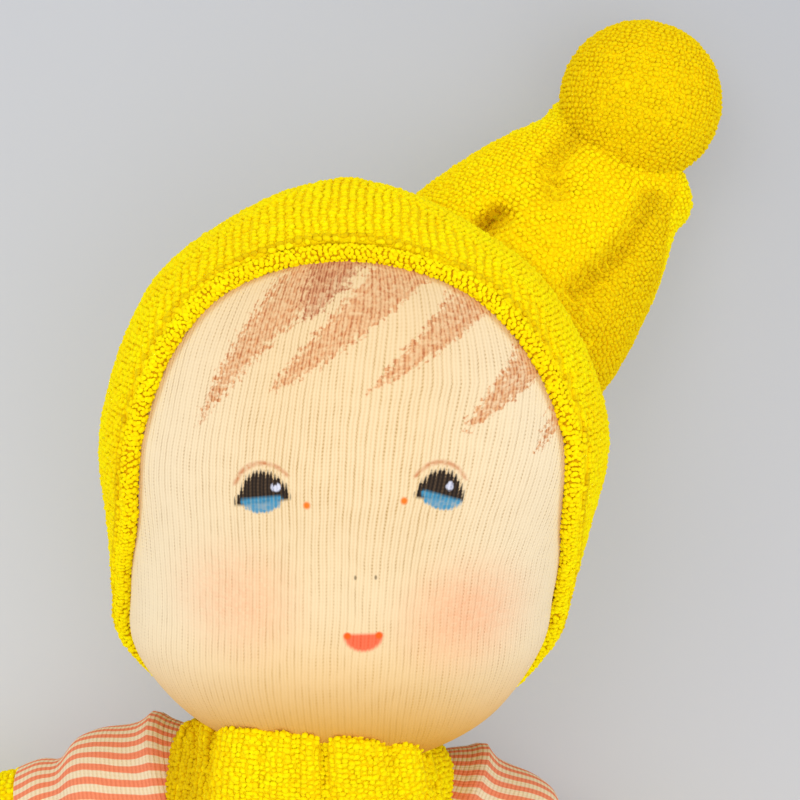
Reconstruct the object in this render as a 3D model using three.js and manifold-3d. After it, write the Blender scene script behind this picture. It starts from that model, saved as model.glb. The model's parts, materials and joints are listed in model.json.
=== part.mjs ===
// A stuffed cloth doll in a hooded terry suit with striped sleeves and a pointed cap, lying on its back.
// Millimetres, +Z up. The origin is on the table under the middle of the body, and +Y points to the crown.
// "left" and "right" are the doll's own sides: its left arm lies towards +X.

import * as THREE from 'three';
import { mergeVertices } from 'three/addons/utils/BufferGeometryUtils.js';
import Module from 'manifold-3d';

const wasm = await Module();
wasm.setup();

// Fits
const seamGap = 0.35;
const swingGap = 0.6;
const seatGap = 1;
const tableFlat = 0.5;

// Cloth and thread
const terryThickness = 2.6;
const jerseyThickness = 1.5;
const skinThickness = 1.5;
const seatLining = 1.8;
const threadRadius = 0.8;

// Body, from the crotch to the collar
const crotchY = -60;
const collarY = 59;
const bellyHalfWidth = 34.5;
const chestHalfWidth = 30.5;
const bellyDepthRatio = 0.88;
const collarDepthRatio = 1.06;
const bodyHeight = 29.6;
const fillingFootY = -36;
const fillingTopY = 30;

// Neck: its ball turns in the collar and its stem goes up into the head
const neckBallRadius = 9;
const neckStemRadius = 7.5;
const neckStemDepth = 14;
const neckWayRadius = 5;
const neckX = 8.5;
const neckY = 46;
const neckZ = 39.2;

// Head, turned about its long axis, whose stuffing leans a little to one side or the other
const neckToHeadCentre = 68;
const chinDrop = 60;
const crownRise = 53.6;
const cheekRadius = 43;
const templeRadius = 47;
const cheekSway = -2.3;
const templeSway = 1;
const crownSway = -0.8;
const headTilt = 5.5;
const headPitch = 9.3;
const eyeLineDrop = 4;
const eyeLineDraw = 1.5;

// Hood: how far before the head's middle its rim lies at the brow, behind the cheeks and at the nape
const hoodThickness = 3.9;
const hemThickness = 3.2;
const hemWidth = 2.8;
const rimBrow = 24;
const rimCheek = 4;
const rimNape = -13;
const rimLean = 25;
const napeDrop = 55;

// Tail of the cap and its ball, placed from the head's centre
const tailBearing = 49;
const tailRootX = 34.4;
const tailRootY = 37;
const tailRootHeight = 22;
const tailLength = 37;
const tailSunk = 24;
const tailRootRadius = 28;
const tailTipRadius = 14.4;
const tailDepthRatio = 0.78;
const tailFall = 12;
const foldDepth = 3.2;
const bobbleRadius = 17.4;
const bobbleReach = 11.4;
const bobbleBearing = 78;
const bobbleMouthRadius = 9;

// Arms
const shoulderX = 33;
const shoulderY = 34;
const shoulderRadius = 21;
const leftArmDrop = 25;
const rightArmDrop = 21;
const sleeveLength = 23.5;
const sleeveEndRadius = 18.4;
const elbowOffset = 36.5;
const elbowRadius = 17.3;
const forearmLength = 40;
const wristRadius = 13;
const cuffMouthRadius = 7.8;
const handLength = 22;
const handRadius = 12.6;
const handStemRadius = 7;
const handStemDepth = 8;

// Legs
const hipSpacing = 37;
const hipY = -60;
const hipRadius = 17.2;
const legLength = 80;
const calfRadius = 18;
const ankleRadius = 13.5;
const legSplay = 5;
const footHeight = 37;
const footRadius = 15;
const footLean = 8;

// Facets round the head, round the other outer forms and round what lies inside
const headSides = 28;
const headRings = 16;
const outerSides = 18;
const innerSides = 12;

// Ranges of the joints that the seats are cut for, in degrees
const nodRange = [-5, 10];
const tailLiftRange = [-15, 60];
const bobbleRange = [-25, 25];
const armSwingRange = [-15, 45];
const hipRange = [-5, 65];

const radians = THREE.MathUtils.degToRad;
const X = new THREE.Vector3(1, 0, 0);
const Y = new THREE.Vector3(0, 1, 0);
const Z = new THREE.Vector3(0, 0, 1);

// Closed geometry to solid: vertices merged, and the empty triangles at the poles left out.
function solid(geometry) {
  const bare = geometry.clone();
  bare.deleteAttribute('normal');
  bare.deleteAttribute('uv');
  const merged = mergeVertices(bare, 1e-4);
  const corners = merged.index.array;
  const kept = [];
  for (let i = 0; i < corners.length; i += 3) {
    const [a, b, c] = [corners[i], corners[i + 1], corners[i + 2]];
    if (a !== b && b !== c && c !== a) kept.push(a, b, c);
  }
  const vertProperties = Float32Array.from(merged.attributes.position.array);
  const mesh = new wasm.Mesh({ numProp: 3, vertProperties, triVerts: Uint32Array.from(kept) });
  return new wasm.Manifold(mesh);
}

function placed(body, matrix) {
  return body.transform(Array.from(matrix.elements));
}

// Where a body of the doll lies: its pivot, then its bearing about Z, then its pitch about X.
function frame(x, y, z, bearing, pitch) {
  const angles = new THREE.Euler(radians(pitch), 0, radians(bearing), 'ZXY');
  const turn = new THREE.Quaternion().setFromEuler(angles);
  return new THREE.Matrix4().compose(new THREE.Vector3(x, y, z), turn, new THREE.Vector3(1, 1, 1));
}

// Points of a profile: radius and place along the axis.
function smooth(stations, steps) {
  const curve = new THREE.SplineCurve(stations.map(([r, y]) => new THREE.Vector2(r, y)));
  return curve.getPoints(steps).map((p) => [Math.max(p.x, 0), p.y]);
}

function dome(radius, from, to, steps, centre = 0) {
  const points = [];
  for (let i = 0; i <= steps; i += 1) {
    const angle = radians(from + ((to - from) * i) / steps);
    points.push([Math.max(radius * Math.cos(angle), 0), centre + radius * Math.sin(angle)]);
  }
  return points;
}

// Solid turned about Y from a profile that starts and ends on the axis, then pressed in Z.
function turned(points, sides, depthRatio = () => 1) {
  const profile = points.map(([r, y]) => new THREE.Vector2(r, y));
  profile[0].x = 0;
  profile[profile.length - 1].x = 0;
  const geometry = new THREE.LatheGeometry(profile, sides);
  const position = geometry.attributes.position;
  for (let i = 0; i < position.count; i += 1) {
    position.setZ(i, position.getZ(i) * depthRatio(position.getY(i)));
  }
  return solid(geometry);
}

function ball(radius, centre, sides = outerSides) {
  const geometry = new THREE.SphereGeometry(radius, sides, sides / 2);
  geometry.translate(centre.x, centre.y, centre.z);
  return solid(geometry);
}

function rod(radius, from, to, sides = innerSides) {
  return turned([[0, from], [radius, from], [radius, to], [0, to]], sides);
}

// Ring of thread about the Y axis.
function ring(radius, tube, y, sides = outerSides) {
  const geometry = new THREE.TorusGeometry(radius, tube, 5, sides);
  geometry.rotateX(Math.PI / 2);
  geometry.translate(0, y, 0);
  return solid(geometry);
}

// What lies behind the hood's rim, set back from it, as a large block seen from the side.
function behindRim(setBack) {
  const far = templeRadius * 3;
  const outline = [
    [far, rimBrow + 3.5],
    [-4, rimBrow],
    [-27, rimCheek],
    [-60, rimNape],
    [-far, rimNape],
    [-far, -far],
    [far, -far],
  ];
  const shape = new THREE.Shape(outline.map(([y, z]) => new THREE.Vector2(y, z)));
  const geometry = new THREE.ExtrudeGeometry(shape, { depth: far, bevelEnabled: false });
  geometry.translate(0, 0, -far / 2);
  geometry.applyMatrix4(new THREE.Matrix4().makeBasis(Y, Z, X));
  const back = setBack * Math.cos(radians(rimLean));
  const up = setBack * Math.sin(radians(rimLean));
  geometry.translate(0, neckToHeadCentre + up, -back);
  return solid(geometry);
}

// The solid without what lies below the table, or below a height over it.
function onTable(body, matrix, height = 0) {
  const geometry = new THREE.BoxGeometry(900, 900, 60);
  geometry.translate(0, 0, height - 30);
  return body.subtract(placed(solid(geometry), matrix.clone().invert()));
}

// The solid with room for a neighbour that turns about an axis through a point.
function clearedOf(body, neighbour, point, axis, angles) {
  let cleared = body;
  for (const angle of angles) {
    const turn = new THREE.Matrix4().makeTranslation(point.x, point.y, point.z);
    turn.multiply(new THREE.Matrix4().makeRotationAxis(axis, radians(angle)));
    turn.multiply(new THREE.Matrix4().makeTranslation(-point.x, -point.y, -point.z));
    cleared = cleared.subtract(placed(neighbour, turn));
  }
  return cleared;
}

function steps([low, high], count) {
  return Array.from({ length: count + 1 }, (_, i) => low + ((high - low) * i) / count);
}

function material(color, roughness) {
  return new THREE.MeshStandardMaterial({ color, roughness, metalness: 0 });
}

const terry = material('#f4d809', 0.95);
const stripes = material('#f0b08a', 0.9);
const skin = material('#f6deb3', 0.85);
const wool = material('#efe6d2', 0.95);
const thread = material('#f2d8a8', 0.7);

const doll = new THREE.Group();

function group(matrix) {
  const made = new THREE.Group();
  made.applyMatrix4(matrix);
  doll.add(made);
  return made;
}

function add(parent, name, body, surface) {
  const { numProp, vertProperties, triVerts } = body.getMesh();
  const geometry = new THREE.BufferGeometry();
  const count = vertProperties.length / numProp;
  const positions = new Float32Array(count * 3);
  for (let i = 0; i < count; i += 1) {
    positions.set(vertProperties.subarray(i * numProp, i * numProp + 3), i * 3);
  }
  geometry.setAttribute('position', new THREE.BufferAttribute(positions, 3));
  geometry.setIndex(Array.from(triVerts));
  geometry.computeVertexNormals();
  const mesh = new THREE.Mesh(geometry, surface);
  mesh.name = name;
  parent.add(mesh);
}

// Frames of the bodies
const bodyFrame = new THREE.Matrix4().makeTranslation(0, 0, bodyHeight);
const headFrame = frame(neckX, neckY, neckZ, headTilt, headPitch);
const neckPoint = new THREE.Vector3(neckX, neckY, neckZ);

// How far the head's axis leans aside at a height over the head's middle.
function headSway(y) {
  const swell = (height, width) => Math.exp(-(((y - height) / width) ** 2));
  return cheekSway * swell(-38, 20) + templeSway * swell(10, 20) + crownSway * swell(50, 14);
}

// Head: skin, hood and core share one profile, set off by the cloth's thickness.
function headForm(grow, sides = headSides, rings = headRings) {
  const stations = [
    [0, -chinDrop - grow],
    [14 + grow, -chinDrop + 1.4 - grow],
    [cheekRadius - 16.5 + grow, -53],
    [cheekRadius - 8.2 + grow, -46],
    [cheekRadius - 1.6 + grow, -35.5],
    [cheekRadius - 0.4 + grow, -25],
    [cheekRadius + 1.6 + grow, -12],
    [templeRadius + grow, 2],
    [templeRadius - 1.2 + grow, 13],
    [templeRadius - 6.3 + grow, 27],
    [templeRadius - 15.4 + grow, 39 + grow * 0.3],
    [14 + grow / 2, crownRise - 4.6 + grow],
    [0, crownRise + grow],
  ];
  const points = smooth(stations, rings).map(([r, y]) => [r, y + neckToHeadCentre]);
  return turned(points, sides).warp((corner) => {
    corner[0] += headSway(corner[1] - neckToHeadCentre);
  });
}

const headGroup = group(headFrame);
const headBottom = neckToHeadCentre - chinDrop;
const stemTop = headBottom + neckStemDepth;
const eyeLineY = neckToHeadCentre - eyeLineDrop;
const coreGrow = -skinThickness - seamGap;
const eyeRingRadius = (cheekRadius + templeRadius) / 2 + coreGrow - eyeLineDraw;
const neckBore = rod(neckStemRadius + seamGap, headBottom - 5, stemTop + seamGap);
const grooveHalf = threadRadius + seamGap;
const clearWidth = templeRadius * 2;
const eyeLineSway = headSway(-eyeLineDrop);
const grooveFloor = rod(eyeRingRadius - grooveHalf, headBottom, clearWidth, headSides);
const grooveRoom = rod(clearWidth, eyeLineY - grooveHalf, eyeLineY + grooveHalf);
const eyeGroove = grooveRoom.subtract(grooveFloor).translate(eyeLineSway, 0, 0);
const eyeLineRing = ring(eyeRingRadius, threadRadius, eyeLineY, headSides).translate(eyeLineSway, 0, 0);
const headCore = headForm(coreGrow, 16, 9).subtract(neckBore).subtract(eyeGroove);
const headSkin = headForm(0).subtract(headForm(-skinThickness, 16, 9)).subtract(neckBore);
add(headGroup, 'head_core', headCore, wool);
add(headGroup, 'eye_line_thread', eyeLineRing, thread);
add(headGroup, 'head_skin', headSkin, skin);

const nape = rod(clearWidth, neckToHeadCentre - napeDrop, neckToHeadCentre + clearWidth, 8);
const headHollow = headForm(seamGap);
const hoodWhole = headForm(hoodThickness).intersect(nape);
const hemWhole = headForm(hemThickness).intersect(nape);
const hoodShell = hoodWhole.intersect(behindRim(hemWidth + seamGap)).subtract(headHollow);
const hem = hemWhole.intersect(behindRim(0)).subtract(behindRim(hemWidth)).subtract(headHollow);
add(headGroup, 'hood', onTable(hoodShell, headFrame), terry);
add(headGroup, 'hood_hem', hem, terry);

// Neck
const neckGroup = group(headFrame);
const neckRise = Math.sqrt(neckBallRadius ** 2 - neckStemRadius ** 2);
const neckProfile = [
  ...dome(neckBallRadius, -90, THREE.MathUtils.radToDeg(Math.asin(neckRise / neckBallRadius)), 7),
  [neckStemRadius, stemTop],
  [0, stemTop],
];
const neckThreadY = (neckRise + headBottom) / 2;
const neckThreadRing = neckStemRadius + seamGap + threadRadius;
add(neckGroup, 'neck_core', turned(neckProfile, innerSides), wool);
add(neckGroup, 'neck_thread', ring(neckThreadRing, threadRadius, neckThreadY, innerSides), thread);

// Tail of the cap: a terry sock, pressed flat, whose open root follows the hood as it lifts.
const headCentre = new THREE.Vector3(0, neckToHeadCentre, 0).applyMatrix4(headFrame);
const bearingAxis = (bearing) => {
  const angle = radians(bearing + headTilt);
  return new THREE.Vector3(Math.cos(angle), Math.sin(angle), 0);
};
const tailAlong = bearingAxis(tailBearing);
const tailRoot = new THREE.Vector3(tailRootX, tailRootY, 0).applyAxisAngle(Z, radians(headTilt));
tailRoot.add(new THREE.Vector3(headCentre.x, headCentre.y, tailRootHeight));
const tailPitch = -THREE.MathUtils.radToDeg(Math.asin(tailFall / tailLength));
const tailFrame = frame(tailRoot.x, tailRoot.y, tailRoot.z, tailBearing + headTilt - 90, tailPitch);
const tailAxis = new THREE.Vector3().crossVectors(tailAlong, Z).normalize();

function tailForm() {
  const stations = [
    [0, -tailSunk],
    [tailRootRadius, -tailSunk + 0.5],
    [tailRootRadius, -tailSunk / 2],
    [tailRootRadius - 0.5, 0],
    [(tailRootRadius + tailTipRadius) / 2 + 1.5, tailLength * 0.5],
    [tailTipRadius + 1, tailLength * 0.86],
    [tailTipRadius, tailLength],
    [0, tailLength + 3],
  ];
  const profile = smooth(stations, 14).map(([r, y]) => new THREE.Vector2(r, y));
  profile[0].x = 0;
  profile[profile.length - 1].x = 0;
  const geometry = new THREE.LatheGeometry(profile, 28);
  const position = geometry.attributes.position;
  for (let i = 0; i < position.count; i += 1) {
    const p = new THREE.Vector3().fromBufferAttribute(position, i);
    const along = p.y / tailLength;
    const side = Math.atan2(p.x, p.z) / Math.PI;
    const diagonal = Math.exp(-(((side - 0.34 * along + 0.02) / 0.085) ** 2));
    const upper = Math.exp(-(((side + 0.24 + 0.1 * along) / 0.07) ** 2)) * Math.min(along * 1.2, 1);
    const reach = THREE.MathUtils.smoothstep(along, -0.1, 0.25);
    const radius = Math.hypot(p.x, p.z);
    const sunk = radius > 1 ? 1 - (foldDepth * reach * Math.max(diagonal, upper)) / radius : 1;
    position.setXYZ(i, p.x * sunk, p.y, p.z * sunk * tailDepthRatio);
  }
  return solid(geometry);
}

const bobbleAlong = bearingAxis(bobbleBearing);
const tailTip = new THREE.Vector3(0, tailLength, 0).applyMatrix4(tailFrame);
const bobblePoint = tailTip.clone();
const bobbleZ = bobbleRadius - tableFlat;
const bobbleCentre = bobblePoint.clone().addScaledVector(bobbleAlong, bobbleReach).setZ(bobbleZ);
const bobbleFrame = frame(bobbleCentre.x, bobbleCentre.y, bobbleZ, bobbleBearing + headTilt - 90, 0);
const hoodClear = placed(headForm(hoodThickness + swingGap), headFrame);
const bobbleClear = ball(bobbleRadius + swingGap, bobbleCentre);
const tailInPlace = placed(tailForm(), tailFrame);
const lifted = steps(tailLiftRange, 5).map((angle) => -angle);
const tailOffHood = clearedOf(tailInPlace, hoodClear, tailRoot, tailAxis, lifted);
const tailCut = clearedOf(tailOffHood, bobbleClear, bobblePoint, Z, steps(bobbleRange, 2));
const tailLocal = placed(tailCut, tailFrame.clone().invert());
const tailGroup = group(tailFrame);
add(tailGroup, 'cap_tail', onTable(tailLocal, tailFrame), terry);

// Ball of the cap, open towards the tail, where a thread gathers it
const bobbleGroup = group(bobbleFrame);
const bobbleMouthY = -Math.sqrt((bobbleRadius - terryThickness) ** 2 - bobbleMouthRadius ** 2);
const mouthBore = rod(bobbleMouthRadius, -bobbleRadius - 5, bobbleMouthY + 2);
const bobbleOuter = ball(bobbleRadius, new THREE.Vector3(), 24);
const bobbleInner = ball(bobbleRadius - terryThickness, new THREE.Vector3(), innerSides);
const bobbleCover = bobbleOuter.subtract(bobbleInner).subtract(mouthBore);
const bobbleStuffing = ball(bobbleRadius - terryThickness - seamGap, new THREE.Vector3(), innerSides);
const bobbleThreadRing = bobbleMouthRadius - seamGap - threadRadius;
const bobbleThreadY = bobbleMouthY - terryThickness / 2;
add(bobbleGroup, 'bobble_cover', onTable(bobbleCover, bobbleFrame), terry);
add(bobbleGroup, 'bobble_stuffing', onTable(bobbleStuffing, bobbleFrame), wool);
add(bobbleGroup, 'bobble_thread', ring(bobbleThreadRing, threadRadius, bobbleThreadY, innerSides), thread);

// Arms: a ball root in the shoulder, a striped sleeve, then a terry forearm on a ball in its end
function sleeveForm(grow, end, sides) {
  const radius = shoulderRadius + grow;
  const points = [
    ...dome(radius, -90, 0, 6),
    [(shoulderRadius + sleeveEndRadius) / 2 + 0.5 + grow, sleeveLength / 2],
    [sleeveEndRadius + grow, end],
    [0, end],
  ];
  return turned(points, sides);
}

function forearmForm(grow, end, sides) {
  const swell = smooth([
    [elbowRadius + grow, 0],
    [elbowRadius + grow, forearmLength * 0.45],
    [wristRadius + 1.4 + grow, forearmLength * 0.85],
    [wristRadius - 2.4 + grow, end],
  ], 6);
  return turned([...dome(elbowRadius + grow, -90, 0, 6).slice(0, -1), ...swell, [0, end]], sides);
}

const armPitch = -THREE.MathUtils.radToDeg(Math.asin((shoulderRadius - elbowRadius) / elbowOffset));

function makeArm(side, name, drop) {
  const x = side * shoulderX;
  const armFrame = frame(x, shoulderY, shoulderRadius - tableFlat, side * -(90 + drop), armPitch);
  const elbow = new THREE.Vector3(0, elbowOffset, 0).applyMatrix4(armFrame);
  const foreFrame = armFrame.clone().setPosition(elbow);
  const beyond = sleeveLength + 5;
  const sleeveInner = sleeveForm(-jerseyThickness, beyond, innerSides);
  const sleeve = sleeveForm(0, sleeveLength, outerSides).subtract(sleeveInner);
  const cup = ball(elbowRadius + swingGap, new THREE.Vector3(0, elbowOffset, 0));
  const filling = sleeveForm(-jerseyThickness - seamGap, sleeveLength, innerSides).subtract(cup);
  const upper = group(armFrame);
  add(upper, `sleeve_${name}`, onTable(sleeve, armFrame), stripes);
  add(upper, `upper_arm_stuffing_${name}`, onTable(filling, armFrame), wool);

  const fore = group(foreFrame);
  const mouth = rod(cuffMouthRadius, forearmLength - 6, forearmLength + 5);
  const cuffInner = forearmForm(-terryThickness, forearmLength - terryThickness, innerSides);
  const cover = forearmForm(0, forearmLength, outerSides).subtract(cuffInner).subtract(mouth);
  const stemBore = rod(handStemRadius + seamGap, forearmLength - handStemDepth - seamGap, 90);
  const fillEnd = forearmLength - terryThickness - seamGap;
  const fill = forearmForm(-terryThickness - seamGap, fillEnd, innerSides).subtract(stemBore);
  const threadY = forearmLength + seamGap + threadRadius;
  const handY = threadY + threadRadius;
  const bulb = smooth([
    [handStemRadius, handY - 0.6],
    [handRadius - 2, handY + handLength * 0.14],
    [handRadius, handY + handLength * 0.45],
    [handRadius - 3, handY + handLength * 0.82],
    [0, handY + handLength],
  ], 8);
  const stemFoot = forearmLength - handStemDepth;
  const handPoints = [[0, stemFoot], [handStemRadius, stemFoot], ...bulb];
  const hand = turned(handPoints, 16);
  const threadRing = ring(handStemRadius + seamGap + threadRadius, threadRadius, threadY, innerSides);
  add(fore, `forearm_cover_${name}`, onTable(cover, foreFrame), terry);
  add(fore, `forearm_stuffing_${name}`, onTable(fill, foreFrame), wool);
  add(fore, `hand_${name}`, onTable(hand, foreFrame), skin);
  add(fore, `wrist_thread_${name}`, threadRing, thread);

  const point = new THREE.Vector3(x, shoulderY, shoulderRadius - tableFlat);
  const wide = shoulderRadius + seatGap;
  const narrow = sleeveEndRadius + seatGap;
  const room = turned([[0, 0], [wide, 0], [narrow, sleeveLength], [0, sleeveLength]], outerSides);
  const angles = armSwingRange.map((angle) => angle * side);
  return { room: placed(room, armFrame), radius: shoulderRadius, point, axis: Z, angles };
}

// Legs: a ball root in the hip, a calf that swells, and an upturned foot
function legForm(grow, sides, inner = 0) {
  const swell = smooth([
    [hipRadius + grow, 0],
    [calfRadius + grow, legLength * 0.38],
    [calfRadius - 1.5 + grow, legLength * 0.65],
    [ankleRadius + grow, legLength * 0.9],
    [ankleRadius + 0.6 + grow, legLength],
  ], 8);
  const end = legLength - inner;
  const kept = swell.filter(([, y]) => y < end - 0.5);
  const points = [...dome(hipRadius + grow, -90, 0, 6).slice(0, -1), ...kept];
  return turned([...points, [ankleRadius + 0.4 + grow, end], [0, end]], sides);
}

function footForm(grow, sides) {
  const heel = -(hipRadius - tableFlat) - tableFlat;
  const stations = [
    [0, heel - grow],
    [footRadius * 0.8 + grow, heel + 3 - grow / 2],
    [footRadius + grow, heel + footHeight * 0.36],
    [footRadius * 0.9 + grow, heel + footHeight * 0.66],
    [footRadius * 0.55 + grow, heel + footHeight * 0.93 + grow / 2],
    [0, heel + footHeight + grow],
  ];
  const profile = smooth(stations, 10).map(([r, y]) => new THREE.Vector2(r, y));
  const geometry = new THREE.LatheGeometry(profile, sides);
  geometry.rotateX(Math.PI / 2 + radians(footLean));
  geometry.translate(0, legLength + footRadius * 0.72, 0);
  return solid(geometry);
}

function makeLeg(side, name) {
  const x = (side * hipSpacing) / 2;
  const z = hipRadius - tableFlat;
  const legFrame = frame(x, hipY, z, 180 + side * legSplay, 0);
  const whole = group(legFrame);
  const foot = footForm(0, 18);
  const threadY = legLength * 0.9;
  const groove = ring(ankleRadius + threadRadius, threadRadius + seamGap, threadY);
  const inner = legForm(-terryThickness, innerSides);
  const shell = legForm(0, outerSides).subtract(inner).subtract(footForm(seamGap, 18)).subtract(groove);
  const fill = legForm(-terryThickness - seamGap, innerSides).subtract(footForm(seamGap, 18));
  add(whole, `leg_cover_${name}`, onTable(shell, legFrame), terry);
  add(whole, `leg_stuffing_${name}`, onTable(fill, legFrame), wool);
  add(whole, `foot_${name}`, onTable(foot, legFrame), terry);
  const ankleThread = ring(ankleRadius + threadRadius, threadRadius, threadY);
  add(whole, `ankle_thread_${name}`, onTable(ankleThread, legFrame), thread);
  const point = new THREE.Vector3(x, hipY, z);
  const wide = hipRadius + seatGap;
  const reach = legLength * 0.4;
  const room = turned([[0, 0], [wide, 0], [calfRadius + seatGap, reach], [0, reach]], innerSides);
  const angles = [0, -hipRange[1] / 2, -hipRange[1]];
  return { room: placed(room, legFrame), radius: hipRadius, point, axis: X, angles };
}

const limbs = [
  makeArm(1, 'left', leftArmDrop),
  makeArm(-1, 'right', rightArmDrop),
  makeLeg(1, 'left'),
  makeLeg(-1, 'right'),
];

// Body: a terry cover over its filling, seated round the head, the neck, the arms and the legs
function bodyForm(grow, sides, rings) {
  const stations = [
    [0, crotchY - grow],
    [chestHalfWidth * 0.5 + grow, crotchY + 1.8 - grow],
    [bellyHalfWidth - 7 + grow, crotchY + 10],
    [bellyHalfWidth - 1 + grow, crotchY + 24],
    [bellyHalfWidth + grow, crotchY + 42],
    [bellyHalfWidth - 2 + grow, 6],
    [chestHalfWidth + 0.8 + grow, 30],
    [chestHalfWidth + grow, collarY - 13],
    [chestHalfWidth - 3.5 + grow, collarY - 4],
    [chestHalfWidth * 0.5 + grow, collarY - 0.5 + grow],
    [0, collarY + grow],
  ];
  const depth = (y) => THREE.MathUtils.mapLinear(y, crotchY, collarY, bellyDepthRatio, collarDepthRatio);
  return turned(smooth(stations, rings), sides, depth);
}

// Room for the head as it nods, for the neck and for each limb as it swings
const hoodRoom = headForm(hoodThickness + seatGap, 18, 14).intersect(nape);
const threadRoom = rod(neckThreadRing + threadRadius + seatGap, neckRise - 1, headBottom + 8);
const headRoom = placed(headForm(seatGap, 18, 14).add(hoodRoom).add(threadRoom), headFrame);

function seated(body) {
  let cut = clearedOf(body, headRoom, neckPoint, X, [nodRange[0], 0, nodRange[1]]);
  for (const limb of limbs) {
    cut = cut.subtract(ball(limb.radius + seatGap, limb.point, 18));
    cut = clearedOf(cut, limb.room, limb.point, limb.axis, limb.angles);
  }
  return cut;
}

// The filling lies clear of the seats, and the neck's way in opens its hollow.
function fillingForm(grow) {
  const slab = new THREE.BoxGeometry(200, fillingTopY - fillingFootY + 2 * grow, 200);
  slab.translate(0, (fillingTopY + fillingFootY) / 2, 0);
  let form = placed(bodyForm(grow - terryThickness, 18, 11).intersect(solid(slab)), bodyFrame);
  for (const limb of limbs) {
    form = form.subtract(ball(limb.radius + seatGap + seatLining - grow, limb.point, 18));
  }
  return onTable(form, new THREE.Matrix4(), terryThickness - grow);
}

const bodyGroup = group(bodyFrame);
const neckSeat = ball(neckBallRadius + swingGap, neckPoint, 16);
const neckWay = placed(rod(neckWayRadius, fillingTopY - neckY - 4, 0), headFrame);
const covered = seated(placed(bodyForm(0, 26, 16), bodyFrame)).subtract(fillingForm(0));
const intoBody = bodyFrame.clone().invert();
const cover = covered.subtract(neckSeat).subtract(neckWay);
add(bodyGroup, 'torso_cover', onTable(placed(cover, intoBody), bodyFrame), terry);
add(bodyGroup, 'torso_stuffing', placed(fillingForm(-seamGap), intoBody), wool);

export default doll;
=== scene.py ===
import functools
import json
import math

import bmesh
import bpy
import numpy as np
from mathutils import Matrix, Vector

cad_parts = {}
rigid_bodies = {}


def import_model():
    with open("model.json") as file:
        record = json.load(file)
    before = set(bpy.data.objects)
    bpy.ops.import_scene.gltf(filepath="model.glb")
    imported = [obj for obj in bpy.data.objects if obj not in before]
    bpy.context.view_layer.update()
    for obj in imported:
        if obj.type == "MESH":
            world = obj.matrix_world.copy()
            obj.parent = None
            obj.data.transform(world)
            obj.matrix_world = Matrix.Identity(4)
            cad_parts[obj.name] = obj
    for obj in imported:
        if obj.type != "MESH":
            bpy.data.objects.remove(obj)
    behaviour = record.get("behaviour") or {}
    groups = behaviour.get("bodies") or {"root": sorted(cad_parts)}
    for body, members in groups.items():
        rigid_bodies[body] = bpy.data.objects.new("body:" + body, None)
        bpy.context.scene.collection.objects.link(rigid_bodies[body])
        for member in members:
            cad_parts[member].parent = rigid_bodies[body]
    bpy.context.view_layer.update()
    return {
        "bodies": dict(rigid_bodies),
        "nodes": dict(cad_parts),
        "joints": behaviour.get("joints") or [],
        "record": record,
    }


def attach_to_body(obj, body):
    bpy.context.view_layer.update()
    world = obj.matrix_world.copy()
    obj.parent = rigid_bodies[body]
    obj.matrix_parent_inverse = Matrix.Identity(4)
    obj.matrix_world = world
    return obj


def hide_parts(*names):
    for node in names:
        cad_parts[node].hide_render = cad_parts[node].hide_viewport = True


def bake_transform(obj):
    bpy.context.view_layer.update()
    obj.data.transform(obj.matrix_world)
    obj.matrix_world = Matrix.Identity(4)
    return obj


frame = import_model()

# A stuffed cloth doll in a yellow terry suit, lying on its back, seen from straight above.
# Sizes are millimetres until a mesh is finished, and angles are degrees.

MM = 0.001
FLOOR_GAP = 0.25
PILE = 0.8
# How far a loop strays from its place, as a share of the loops' pitch
JITTER = 0.12
rng = np.random.default_rng(11)


def place(x, y, z, bearing=0.0, pitch=0.0):
    """Where a body of the doll lies: its pivot, its bearing about Z and then its pitch about X."""
    turn = Matrix.Rotation(math.radians(bearing), 4, "Z") @ Matrix.Rotation(math.radians(pitch), 4, "X")
    return Matrix.Translation((x, y, z)) @ turn


def pair(across, along, height, left, right, pitch=0.0):
    """Frames of a left and a right limb, from the left one's pivot and both bearings."""
    return {"left": place(across, along, height, left, pitch),
            "right": place(-across, along, height, right, pitch)}


def heading(bearing):
    return Vector((math.cos(math.radians(bearing)), math.sin(math.radians(bearing)), 0))


# Frames of the bodies, as the doll lies
HEAD_TILT = 5.5
HEAD_PITCH = 9.3
HEAD_OVER_NECK = 68
NECK_PIVOT = (8.5, 46, 39.2)
NECK = place(*NECK_PIVOT, HEAD_TILT, HEAD_PITCH)
HEAD = NECK @ Matrix.Translation((0, HEAD_OVER_NECK, 0))


def beside_head(across, up):
    """A place from the head's middle, along the photo's sides."""
    return HEAD.translation + Matrix.Rotation(math.radians(HEAD_TILT), 3, "Z") @ Vector((across, up, 0))


TORSO = place(0, 0, 29.6)
TAIL_LENGTH = 37
TAIL_DROP = 12
TAIL_HEIGHT = 22
TAIL_BEARING = 49 + HEAD_TILT
BALL_BEARING = 78 + HEAD_TILT
BALL_RADIUS = 17.4
BALL_OFF_TAIL = 11.9
BALL_HEIGHT = 16.9
BALL_SHIFT = Vector((0.9, 0.5, 0))
ELBOW = 36.5
ELBOW_DROP = 3.7
ANKLE = 90.8
TAIL_PITCH = -math.degrees(math.asin(TAIL_DROP / TAIL_LENGTH))
root = beside_head(34.4, 37)
TAIL = place(root.x, root.y, TAIL_HEIGHT, TAIL_BEARING - 90, TAIL_PITCH)
tip = TAIL @ Vector((0, TAIL_LENGTH, 0))
ball = tip + heading(BALL_BEARING) * BALL_OFF_TAIL + BALL_SHIFT
BOBBLE = place(ball.x, ball.y, BALL_HEIGHT, BALL_BEARING - 90)
ARM_PITCH = -math.degrees(math.asin(ELBOW_DROP / ELBOW))
ARMS = pair(33, 34, 20.5, -115, 111, ARM_PITCH)
LEGS = pair(18.5, -60, 16.7, 185, 175)

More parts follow.
